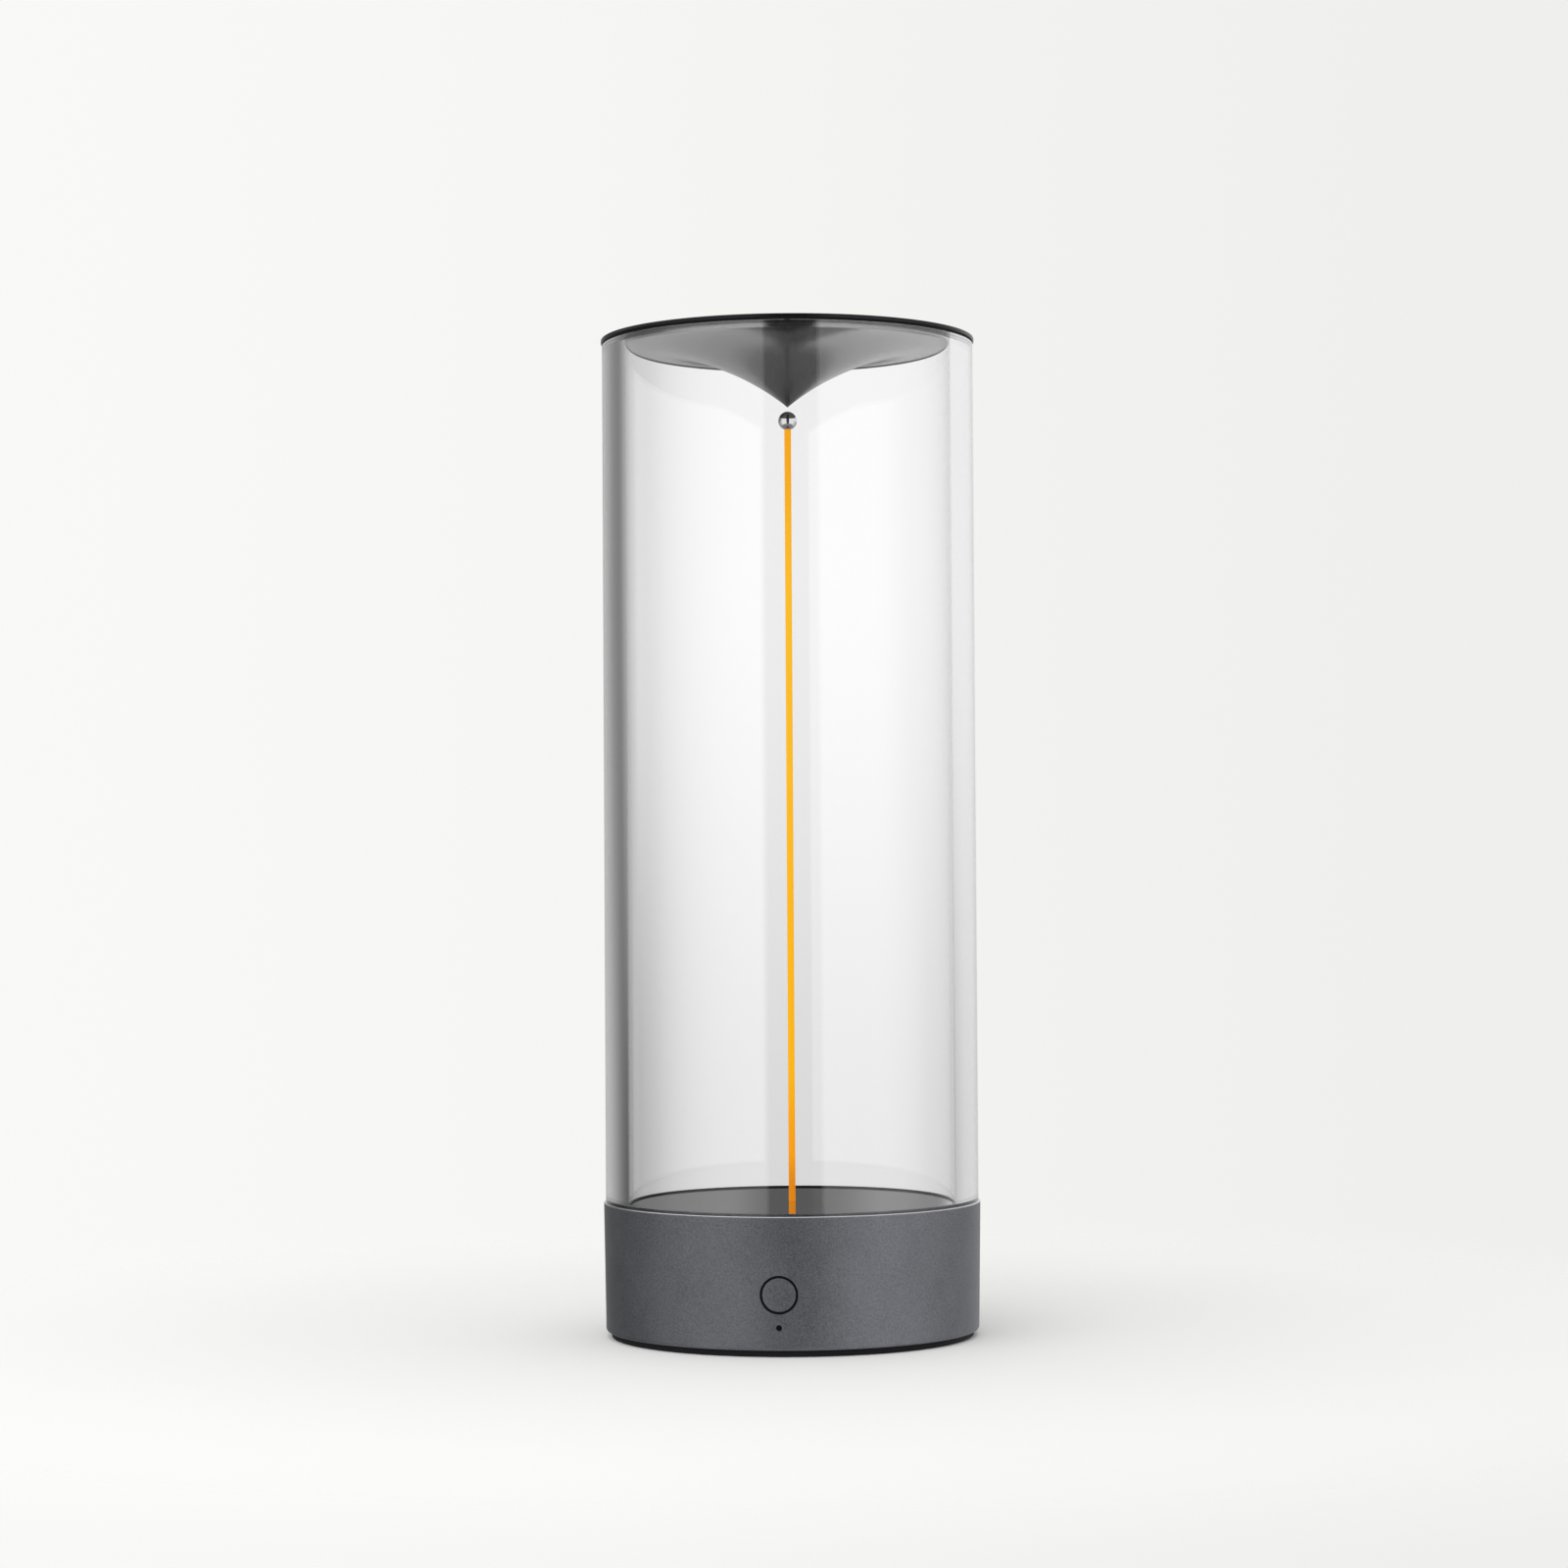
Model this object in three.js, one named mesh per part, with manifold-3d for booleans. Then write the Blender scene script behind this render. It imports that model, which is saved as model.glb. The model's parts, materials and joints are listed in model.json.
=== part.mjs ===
// Bedside lamp. A clear tube stands in a round metal base, under a thin lid whose underside flares down to
// a point. A slender light strip rises from the deck to a steel ball, and the magnet in the lid holds the
// ball just under that point. The base holds two cells, the charging socket, a push button and a small
// indicator light. Millimetres, +Z up. The origin is the middle of the footprint, on the table.
import * as THREE from "three";
import { mergeVertices } from "three/addons/utils/BufferGeometryUtils.js";
import Module from "manifold-3d";

// Clear tube
const tubeRadius = 50;
const tubeWall = 6;
const tubeLength = 235.5;
const tubeChamfer = 0.3;
const tubeInsertion = 5.5; // how far the tube stands in the base
const tubeFit = 0.05; // radial play between the tube and the rim of the base
const tubeGasketThickness = 0.5;

// Base shell
const lipWall = 0.45; // metal of the rim outside the tube
const shellTaper = 0.5; // how much narrower the shell is at its lower edge than at its rim
const shellWall = 2.5;
const shellLift = 1.76; // height of the shell's lower edge above the table
const shellChamfer = 0.6;
const rimChamfer = 0.15;
const ledgeThickness = 3;
const pillarRadius = 3.5;
const pillarInset = 8; // from the shell's inner wall to the middle of a pillar
const pillarTurnShare = 55 / 360; // of a full turn, from the side of the base to a pillar

// Foot ring and bottom cover
const footThickness = 2;
const footInset = 1.5; // from the shell's lower edge to the ring's outer edge
const footWidth = 5;
const footChamfer = 0.2;
const coverThickness = 2.3;
const coverHubDepth = 1; // how far the middle of the cover hangs inside the foot ring
const coverSeatWall = 1.2; // metal of the shell outside the cover
const coverFit = 0.1;

// Screws: the cover's are larger than the others
const coverScrewRadius = 1.25;
const coverScrewLength = 9.5;
const coverScrewHeadRadius = 2.3;
const coverScrewHeadHeight = 1.4;
const coverScrewSink = 0.2; // how far a head lies below the cover's face
const smallScrewRadius = 1;
const smallScrewHeadRadius = 1.9;
const smallScrewHeadHeight = 1.5;
const screwFit = 0.1; // radial play of a screw in its hole
const screwTipRoom = 0.4; // depth of a blind hole beyond the screw's tip
const screwDriveShare = 0.5; // width and depth of the hexagonal recess, of the head's own

// Cells and their cradle
const cellRadius = 9.1;
const cellEndRoom = 15; // from a cell's end to the shell's wall
const cellNubRadius = 3.2;
const cellNubHeight = 0.8;
const cellEdge = 0.4;
const cellFit = 0.1;
const cellHeadroom = 1.8; // between the cells and the main board
const cradleFloor = 0.9;
const cradleWall = 1.2;
const cradleHeight = 7.7;
const stripThickness = 0.3;
const stripHalfWidth = 13;
const stripHalfHeight = 4;
const stripRoom = 0.4; // between a strip and the cradle's end wall

// Main board, under the ledge
const boardThickness = 1.6;
const boardRoom = 1; // between the board and the pillars
const boardOverlap = 5; // how far the board reaches under the ledge
const boardScrewInset = 2.5; // from the board's edge to the middle of a screw
const boardScrewLength = 3.8;
const boardScrewCount = 3;
const connectorWidth = 7;
const connectorDepth = 5;
const connectorHeight = 3;
const connectorInset = 6; // from the board's edge to a connector's outer face
const connectorSpread = 12.5; // middle to middle, of the two front connectors
const leadRadius = 0.6;
const leadGap = 0.3;
const leadSpreadShare = 0.25; // of a connector's width, from its middle to a wire

// Deck
const deckGap = 0.6; // between the deck and the tube
const deckThickness = 2;
const deckSkirt = 2;
const deckEdge = 0.15;
const deckScrewLength = 7;
const deckScrewCount = 3;
const deckBossRadius = 2.5;

// Light strip, its ferrule, guide and socket
const filamentRadius = 0.9;
const filamentBoreRadius = 0.45;
const filamentPlay = 0.2; // radial play in the deck's hole
const flexWidth = 0.6;
const flexThickness = 0.25;
const flexTail = 0.1; // how far the flexible circuit stays inside the jacket's ends
const guideRadius = 3;
const guideThickness = 1;
const guideFit = 0.05;
const ferruleRadius = 2;
const ferruleBoreRadius = 1.4;
const ferruleHeadroom = 1.1; // below the deck's guide
const ferruleFloor = 0.5;
const ferruleGap = 0.4; // above the socket
const filamentFootGap = 0.3; // between the strip's foot and the ferrule's floor
const socketRadius = 4;
const socketHeight = 2.8;

// Steel ball
const ballRadius = 2.5;
const ballGap = 1.15; // between the ball and the lid's point
const ballSocketDepth = 1.1;
const ballSocketFit = 0.05;
const ballSocketRoom = 0.1; // above the strip's end

// Lid
const lidOverhang = 0.3; // how far the lid stands out beyond the tube
const lidThickness = 1.1;
const lidChamfer = 0.25;
const lidGasketThickness = 0.5;
const lidGasketInset = 0.35; // from the lid's edge to the gasket's
const plugFit = 0.2; // between the plug and the tube
const plugDepth = 1.1;
const plugChamfer = 0.1;
const plugWall = 2;
const gasketFit = 0.1; // between the gasket and the plug
const flareDepth = 15.65; // from the plug's lower edge down to the point
const flareRoom = 0.1; // between the rim of the flare's sheet and the lid
const magnetRadius = 4;
const magnetHeight = 6;
const magnetFit = 0.1;
const retainerRadius = 8;
const retainerGap = 0.5; // between the retainer and the flare

// Button, its bezel and its switch, in the front of the base
const buttonRadius = 4.3;
const buttonFit = 0.1;
const buttonTravel = 0.5;
const buttonAboveCells = 1.6; // from the cells' axis to the button's
const bezelWidth = 0.4;
const bezelFit = 0.05;
const bezelFlangeWidth = 1.7;
const bezelFlangeThickness = 0.8;
const bezelRecess = 0.15; // how far the bezel lies below the shell's face
const seatGap = 0.05; // between an inner flange and the shell's wall
const capFlangeWidth = 0.85;
const capFlangeThickness = 0.8;
const capFlangeGap = 0.1;
const stemRadius = 1.75;
const stemLength = 1.8;
const plungerRadius = 1.6;
const plungerFit = 0.1;
const plungerProud = 1.1; // how far the plunger stands out of its switch
const plungerInside = 0.7;
const plungerRoom = 0.1;
const switchHalfWidth = 3;
const switchDepth = 3.5;
const switchBoardThickness = 1.2;
const switchBoardHalfWidth = 8;
const switchBoardLift = 0.5; // above the cover
const switchBoardRise = 5; // above the button's middle
const bracketThickness = 1.8;
const bracketFootLength = 6.5;
const bracketFootThickness = 2;
const bracketScrewLength = 3.9;
const bracketScrewHalfSpacing = 5;
const bracketScrewSetback = 3.3; // from the upright to a screw

// Indicator light
const indicatorGap = 0.4; // between the pipe's collar and the bezel's flange
const pipeRadius = 0.7;
const pipeFit = 0.05;
const pipeRecess = 0.1;
const pipeCollarRadius = 1.5;
const pipeCollarThickness = 1;
const pipeGap = 0.3;
const indicatorHalfWidth = 1;
const indicatorDepth = 1.2;

// Charging socket, in the back of the base
const usbWidth = 8.94;
const usbHeight = 3.26;
const usbDepth = 7.3;
const usbMetal = 0.3;
const usbBackWall = 0.7;
const usbRecess = 1.2; // from the shell's face to the socket's mouth
const usbSlotFit = 0.17;
const tongueHalfWidth = 3.35;
const tongueHalfThickness = 0.35;
const tongueSetback = 1;
const usbBoardHalfWidth = 7.2;
const usbBoardThickness = 1.2;
const usbBoardLength = 13;
const usbBoardEdge = 1.5; // from the shell's wall to the board's front edge
const usbScrewLength = 5;
const usbScrewHalfSpacing = 5;
const usbScrewInset = 3.5; // from the board's rear edge
const usbPostRadius = 2.2;

// Facets of the round pieces, and one overrun for all cuts
const roundFacets = 48;
const cellFacets = 32;
const smallFacets = 24;
const screwFacets = 12;
const leadFacets = 8;
const hexFacets = 6;
const flareSteps = 14; // along the underside's arc
const hollowSteps = 6; // along the arc of its hollow side
const overrun = 1;

// Radii of the ring round the button
const bezelBore = buttonRadius + buttonFit;
const bezelRadius = bezelBore + bezelWidth;
const bezelFlangeRadius = bezelRadius + bezelFlangeWidth;

// Heights, from the table up
const coverTop = footThickness + coverThickness;
const cellAxis = coverTop + cradleFloor + cellFit + cellRadius;
const boardBottom = cellAxis + cellRadius + cellHeadroom;
const ledgeBottom = boardBottom + boardThickness;
const ledgeTop = ledgeBottom + ledgeThickness;
const tubeBottom = ledgeTop + tubeGasketThickness;
const rimTop = tubeBottom + tubeInsertion;
const deckBottom = rimTop - deckThickness;
const tubeTop = tubeBottom + tubeLength;
const lidBottom = tubeTop + lidGasketThickness;
const lidTop = lidBottom + lidThickness;
const plugBottom = tubeTop - plugDepth;
const flareWall = lidBottom - plugBottom - flareRoom;
const flareTip = plugBottom - flareDepth;
const ballMiddle = flareTip - ballGap - ballRadius;
const buttonAxis = cellAxis + buttonAboveCells;
const indicatorAxis = buttonAxis - bezelFlangeRadius - indicatorGap - pipeCollarRadius;

// Radii and distances from the middle axis
const tubeBore = tubeRadius - tubeWall;
const rimRadius = tubeRadius + tubeFit + lipWall;
const footEdgeRadius = rimRadius - shellTaper;
const shellBore = footEdgeRadius - shellWall;
const cellLength = 2 * (shellBore - cellEndRoom);
const coverSeatRadius = footEdgeRadius - coverSeatWall;
const footRadius = footEdgeRadius - footInset;
const pillarCircle = shellBore - pillarInset;
const boardRadius = pillarCircle - pillarRadius - boardRoom;
const ledgeBore = boardRadius - boardOverlap;
const boardScrewCircle = boardRadius - boardScrewInset;
const deckRadius = tubeBore - deckGap;
const deckScrewCircle = boardRadius + boardRoom + smallScrewHeadRadius;
const filamentHole = filamentRadius + filamentPlay;
const plugRadius = tubeBore - plugFit;
const lidRadius = tubeRadius + lidOverhang;

// Materials, in the lamp's own colours
function finish(color, roughness, metalness) {
  return new THREE.MeshStandardMaterial({ color, roughness, metalness });
}
const anodised = finish("#6b6c70", 0.45, 0.9);
const lidMetal = finish("#4b4b4d", 0.35, 0.9);
const clear = finish("#eef2f2", 0.05, 0);
clear.transparent = true;
clear.opacity = 0.3;
const glossyDeck = finish("#66666a", 0.1, 0);
const softBlack = finish("#1e1f22", 0.8, 0);
const hardBlack = finish("#232427", 0.5, 0);
const amberSilicone = finish("#ffa000", 0.5, 0);
const flexCopper = finish("#c9803a", 0.35, 1);
const polishedSteel = finish("#d8d8da", 0.05, 1);
const magnetPlate = finish("#b9bcc0", 0.2, 1);
const screwSteel = finish("#9a9ca0", 0.3, 1);
const boardGreen = finish("#1f4d35", 0.5, 0);
const cellWrap = finish("#2f6f9f", 0.4, 0);
const stripNickel = finish("#c8c9c6", 0.25, 1);
const connectorIvory = finish("#e6dfcc", 0.5, 0);
const wireRed = finish("#b3261e", 0.5, 0);
const wireBlack = finish("#202022", 0.5, 0);
const wireGrey = finish("#8a8c8f", 0.5, 0);
const clearPipe = finish("#e9eef0", 0.1, 0);
const ledWhite = finish("#f4f1e2", 0.4, 0);

const wasm = await Module();
wasm.setup();
const cornersPerFace = 3;

// A closed geometry as a solid that can be joined and cut.
function solidOf(geometry) {
  const bare = geometry.index ? geometry.toNonIndexed() : geometry.clone();
  bare.deleteAttribute("normal");
  bare.deleteAttribute("uv");
  const merged = mergeVertices(bare);
  const corners = [];
  for (let i = 0; i < merged.index.count; i += cornersPerFace) {
    const face = Array.from(merged.index.array.subarray(i, i + cornersPerFace));
    if (new Set(face).size === cornersPerFace) corners.push(...face);
  }
  const vertProperties = merged.attributes.position.array;
  const triVerts = new Uint32Array(corners);
  return new wasm.Manifold(new wasm.Mesh({ numProp: 3, vertProperties, triVerts }));
}

// A solid as a geometry.
function geometryOf(solid) {
  const mesh = solid.getMesh();
  const geometry = new THREE.BufferGeometry();
  geometry.setAttribute("position", new THREE.BufferAttribute(mesh.vertProperties, cornersPerFace));
  geometry.setIndex(new THREE.BufferAttribute(mesh.triVerts, 1));
  return geometry;
}

// One body joined from several.
function joined(first, ...others) {
  return geometryOf(others.reduce((whole, other) => whole.add(solidOf(other)), solidOf(first)));
}

// A body with others cut out of it.
function cut(body, ...tools) {
  return geometryOf(tools.reduce((left, tool) => left.subtract(solidOf(tool)), solidOf(body)));
}

// What two bodies share.
function shared(body, other) {
  return geometryOf(solidOf(body).intersect(solidOf(other)));
}

// A body turned about +Z from an outline of [radius, height] points.
function turned(outline, facets = roundFacets) {
  const points = outline.map(([radius, height]) => new THREE.Vector2(radius, height));
  if (THREE.ShapeUtils.isClockWise(points)) points.reverse();
  points.push(points[0].clone());
  return new THREE.LatheGeometry(points, facets).rotateX(Math.PI / 2);
}

// A round rod along +Z between two heights.
function rod(radius, low, high, facets = screwFacets) {
  return turned([[0, low], [radius, low], [radius, high], [0, high]], facets);
}

// A box between two opposite corners.
function block([x0, y0, z0], [x1, y1, z1]) {
  const box = new THREE.BoxGeometry();
  const at = box.attributes.position;
  for (let i = 0; i < at.count; i++)
    at.setXYZ(i, at.getX(i) < 0 ? x0 : x1, at.getY(i) < 0 ? y0 : y1, at.getZ(i) < 0 ? z0 : z1);
  return box;
}

// A body made along +Z, laid to point out of the base's front at a height. Its heights become distances
// in front of the middle axis.
function facingFront(body, height) {
  return body.rotateX(Math.PI / 2).translate(0, 0, height);
}

// Evenly spaced places on a circle about +Z, the first one at an angle from +X.
function ring(count, radius, start) {
  return Array.from({ length: count }, (_, i) => {
    const angle = start + (i * 2 * Math.PI) / count;
    return [radius * Math.cos(angle), radius * Math.sin(angle)];
  });
}

// A screw that points up, with the underside of its head at height zero.
function screwBody(radius, length, headRadius, headHeight) {
  const edge = headHeight * screwDriveShare * screwDriveShare;
  const outline = [
    [0, -headHeight], [headRadius - edge, -headHeight], [headRadius, edge - headHeight], [headRadius, 0],
    [radius, 0], [radius, length], [0, length],
  ];
  const drive = rod(headRadius * screwDriveShare, -headHeight - overrun,
    headHeight * (screwDriveShare - 1), hexFacets);
  return cut(turned(outline, screwFacets), drive);
}

function smallScrew(length) {
  return screwBody(smallScrewRadius, length, smallScrewHeadRadius, smallScrewHeadHeight);
}

// A wire along a smooth line through points.
function lead(points) {
  const line = new THREE.CatmullRomCurve3(points.map((point) => new THREE.Vector3(...point)));
  const section = new THREE.Shape(ring(leadFacets, leadRadius, 0).map(([x, y]) => new THREE.Vector2(x, y)));
  const steps = Math.ceil(line.getLength() / (2 * 2 * leadRadius));
  return new THREE.ExtrudeGeometry(section, { steps, extrudePath: line, bevelEnabled: false });
}

const lamp = new THREE.Group();
const base = new THREE.Group();
const power = new THREE.Group();
const control = new THREE.Group();
const light = new THREE.Group();
const lid = new THREE.Group();
lamp.add(base, power, control, light, lid);

function add(group, name, body, material, place = [0, 0, 0]) {
  const geometry = geometryOf(solidOf(body));
  geometry.computeVertexNormals();
  const mesh = new THREE.Mesh(geometry, material);
  mesh.name = name;
  mesh.position.set(...place);
  group.add(mesh);
}

// How far the shell's outer face is from the middle axis at a height.
function shellRadiusAt(height) {
  return footEdgeRadius + (shellTaper * (height - shellLift)) / (rimTop - shellLift);
}

// The space inside the shell's outer face, drawn in by an inset, which trims what lies flush with it.
function drum(inset) {
  return turned([
    [0, shellLift], [footEdgeRadius - inset, shellLift], [rimRadius - inset, rimTop], [0, rimTop],
  ]);
}

// The distance in front of the axis at which a flat flange of a given radius meets the shell's wall, where
// the middle of a facet is nearest to the axis.
function wallSeat(flangeRadius) {
  const nearest = shellBore * Math.cos(Math.PI / roundFacets);
  return Math.sqrt(nearest * nearest - flangeRadius * flangeRadius) - seatGap;
}

const bezelFront = wallSeat(bezelFlangeRadius);
const bezelBack = bezelFront - bezelFlangeThickness;
const capFlangeFront = bezelBack - capFlangeGap;
const capFlangeBack = capFlangeFront - capFlangeThickness;
const stemBack = capFlangeBack - stemLength;
const plungerFront = stemBack - plungerRoom;
const switchFront = plungerFront - plungerProud;
const switchBack = switchFront - switchDepth;
const bracketFront = switchBack - switchBoardThickness;
const bracketBack = bracketFront - bracketThickness;
const boardScrewPlaces = ring(boardScrewCount, boardScrewCircle, -Math.PI / 2);
const deckScrewPlaces = ring(deckScrewCount, deckScrewCircle, Math.PI / 2);
const pillarX = pillarCircle * Math.cos(2 * Math.PI * pillarTurnShare);
const pillarY = pillarCircle * Math.sin(2 * Math.PI * pillarTurnShare);
const pillarPlaces = [[pillarX, pillarY], [-pillarX, pillarY], [-pillarX, -pillarY], [pillarX, -pillarY]];
const usbMouth = shellRadiusAt(buttonAxis) - usbRecess;
const usbBoardTop = buttonAxis - usbHeight / 2;
const usbBoardBottom = usbBoardTop - usbBoardThickness;
const usbBoardFront = shellBore - usbBoardEdge;
const usbBoardRear = usbBoardFront - usbBoardLength;
const usbPostY = usbBoardRear + usbScrewInset;
const bracketScrewY = bracketBack - bracketScrewSetback;
const coverHubBottom = footThickness - coverHubDepth;
const coverScrewSeat = coverHubBottom + coverScrewSink + coverScrewHeadHeight;

// A flat bar with round ends, laid along +Y from a near to a far distance behind the axis.
function roundEndedBar(width, height, near, far) {
  const radius = height / 2;
  const reach = width / 2 - radius;
  const shape = new THREE.Shape();
  shape.absarc(reach, 0, radius, -Math.PI / 2, Math.PI / 2);
  shape.absarc(-reach, 0, radius, Math.PI / 2, (Math.PI * 3) / 2);
  const settings = { depth: far - near, bevelEnabled: false, curveSegments: hexFacets };
  const bar = new THREE.ExtrudeGeometry(shape, settings);
  return bar.rotateX(Math.PI / 2).translate(0, far, buttonAxis);
}

function makeFoot() {
  add(base, "foot_ring", turned([
    [footRadius - footWidth, 0], [footRadius - footChamfer, 0], [footRadius, footChamfer],
    [footRadius, footThickness], [footRadius - footWidth, footThickness],
  ]), softBlack);
}

function makeCover() {
  const hubRadius = footRadius - footWidth - coverFit;
  const plate = turned([
    [0, coverHubBottom], [hubRadius, coverHubBottom], [hubRadius, footThickness],
    [coverSeatRadius - coverFit, footThickness], [coverSeatRadius - coverFit, coverTop], [0, coverTop],
  ]);
  const posts = [];
  const holes = [];
  for (const side of [-1, 1]) {
    const postX = side * usbScrewHalfSpacing;
    posts.push(rod(usbPostRadius, coverTop - overrun, usbBoardBottom, smallFacets)
      .translate(postX, usbPostY, 0));
    const usbHoleBottom = usbBoardTop - usbScrewLength - screwTipRoom;
    holes.push(rod(smallScrewRadius + screwFit, usbHoleBottom, usbBoardBottom + overrun)
      .translate(postX, usbPostY, 0));
    const bracketHoleBottom = coverTop + bracketFootThickness - bracketScrewLength - screwTipRoom;
    holes.push(rod(smallScrewRadius + screwFit, bracketHoleBottom, coverTop + overrun)
      .translate(side * bracketScrewHalfSpacing, -bracketScrewY, 0));
  }
  for (const [x, y] of pillarPlaces) {
    holes.push(rod(coverScrewRadius + screwFit, -overrun, coverTop + overrun).translate(x, y, 0));
    holes.push(rod(coverScrewHeadRadius + screwFit, -overrun, coverScrewSeat).translate(x, y, 0));
  }
  add(base, "bottom_cover", cut(joined(plate, ...posts), ...holes), hardBlack);
  const screw = screwBody(coverScrewRadius, coverScrewLength, coverScrewHeadRadius, coverScrewHeadHeight);
  pillarPlaces.forEach(([x, y], i) =>
    add(base, "cover_screw_" + (i + 1), screw, screwSteel, [x, y, coverScrewSeat]));
}

function makeShell() {
  const grooveRadius = tubeRadius + tubeFit;
  const wall = turned([
    [coverSeatRadius, shellLift], [footEdgeRadius - shellChamfer, shellLift],
    [footEdgeRadius, shellLift + shellChamfer], [rimRadius, rimTop - rimChamfer],
    [rimRadius - rimChamfer, rimTop], [grooveRadius, rimTop], [grooveRadius, ledgeTop],
    [ledgeBore, ledgeTop], [ledgeBore, ledgeBottom], [shellBore, ledgeBottom],
    [shellBore, coverTop], [coverSeatRadius, coverTop],
  ]);
  const pillars = [];
  const holes = [];
  for (const [x, y] of pillarPlaces) {
    const pillarTop = ledgeBottom + ledgeThickness / 2;
    pillars.push(rod(pillarRadius, coverTop, pillarTop, smallFacets).translate(x, y, 0));
    const web = block([0, -pillarRadius / 2, coverTop], [pillarInset, pillarRadius / 2, pillarTop]);
    pillars.push(web.rotateZ(Math.atan2(y, x)).translate(x, y, 0));
    holes.push(rod(coverScrewRadius + screwFit, coverTop - overrun,
      coverScrewSeat + coverScrewLength + screwTipRoom).translate(x, y, 0));
  }
  for (const [x, y] of boardScrewPlaces)
    holes.push(rod(smallScrewRadius + screwFit, ledgeBottom - overrun,
      boardBottom + boardScrewLength + screwTipRoom).translate(x, y, 0));
  for (const [x, y] of deckScrewPlaces)
    holes.push(rod(smallScrewRadius + screwFit, ledgeBottom - overrun, ledgeTop + overrun)
      .translate(x, y, 0));
  const outside = rimRadius + overrun;
  const bezelHole = rod(bezelRadius + bezelFit, shellBore - overrun, outside, smallFacets);
  holes.push(facingFront(bezelHole, buttonAxis));
  holes.push(facingFront(rod(pipeRadius + pipeFit, shellBore - overrun, outside), indicatorAxis));
  const slotPlay = 2 * usbSlotFit;
  holes.push(roundEndedBar(usbWidth + slotPlay, usbHeight + slotPlay, shellBore - overrun, outside));
  add(base, "base_shell", cut(joined(wall, ...pillars), ...holes), anodised);
}

function makeTubeSeat() {
  add(base, "tube_gasket", turned([
    [tubeBore, ledgeTop], [tubeRadius, ledgeTop], [tubeRadius, tubeBottom], [tubeBore, tubeBottom],
  ]), softBlack);
  const low = tubeBottom + tubeChamfer;
  const high = tubeTop - tubeChamfer;
  const inner = tubeBore + tubeChamfer;
  const outer = tubeRadius - tubeChamfer;
  add(base, "clear_tube", turned([
    [inner, tubeBottom], [outer, tubeBottom], [tubeRadius, low], [tubeRadius, high],
    [outer, tubeTop], [inner, tubeTop], [tubeBore, high], [tubeBore, low],
  ]), clear);
}

function makeDeck() {
  const skirtBore = deckRadius - deckSkirt;
  const plate = turned([
    [0, deckBottom], [skirtBore, deckBottom], [skirtBore, ledgeTop], [deckRadius, ledgeTop],
    [deckRadius, rimTop - deckEdge], [deckRadius - deckEdge, rimTop], [0, rimTop],
  ]);
  const bosses = deckScrewPlaces.map(([x, y]) =>
    rod(deckBossRadius, ledgeTop, deckBottom + deckEdge, smallFacets).translate(x, y, 0));
  const holes = deckScrewPlaces.map(([x, y]) => rod(smallScrewRadius + screwFit, ledgeTop - overrun,
    ledgeBottom + deckScrewLength + screwTipRoom).translate(x, y, 0));
  holes.push(rod(filamentHole, deckBottom - overrun, rimTop + overrun, smallFacets));
  holes.push(rod(guideRadius + guideFit, deckBottom - overrun, deckBottom + guideThickness, smallFacets));
  add(base, "deck_plate", cut(joined(plate, ...bosses), ...holes), glossyDeck);
  deckScrewPlaces.forEach(([x, y], i) =>
    add(base, "deck_screw_" + (i + 1), smallScrew(deckScrewLength), screwSteel, [x, y, ledgeBottom]));
}

function makeMainBoard() {
  const holes = boardScrewPlaces.map(([x, y]) =>
    rod(smallScrewRadius + screwFit, boardBottom - overrun, ledgeBottom + overrun).translate(x, y, 0));
  const disc = rod(boardRadius, boardBottom, ledgeBottom, roundFacets);
  add(power, "main_board", cut(disc, ...holes), boardGreen);
  boardScrewPlaces.forEach(([x, y], i) =>
    add(power, "board_screw_" + (i + 1), smallScrew(boardScrewLength), screwSteel, [x, y, boardBottom]));
  const places = {
    battery_connector: [-connectorSpread, -1],
    switch_connector: [connectorSpread - connectorWidth, -1],
    usb_connector: [0, 1],
  };
  for (const [name, [middle, side]] of Object.entries(places)) {
    const outer = side * (boardRadius - connectorInset);
    const inner = side * (boardRadius - connectorInset - connectorDepth);
    add(power, name, block(
      [middle - connectorWidth / 2, Math.min(outer, inner), boardBottom - connectorHeight],
      [middle + connectorWidth / 2, Math.max(outer, inner), boardBottom],
    ), connectorIvory);
  }
}

const cellY = cellRadius + cellFit;
const cellEnd = cellLength / 2;
const stripEnd = cellEnd + stripThickness;
const cradleHalfWidth = 2 * cellRadius + 2 * cellFit + cradleWall;

// Makes a cell's outline along +Z, from its flat end to its raised one.
function cellOutline() {
  const shoulder = cellEnd - cellNubHeight;
  return [
    [0, -cellEnd], [cellRadius - cellEdge, -cellEnd], [cellRadius, cellEdge - cellEnd],
    [cellRadius, shoulder - cellEdge], [cellRadius - cellEdge, shoulder], [cellNubRadius, shoulder],
    [cellNubRadius, cellEnd], [0, cellEnd],
  ];
}

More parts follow.
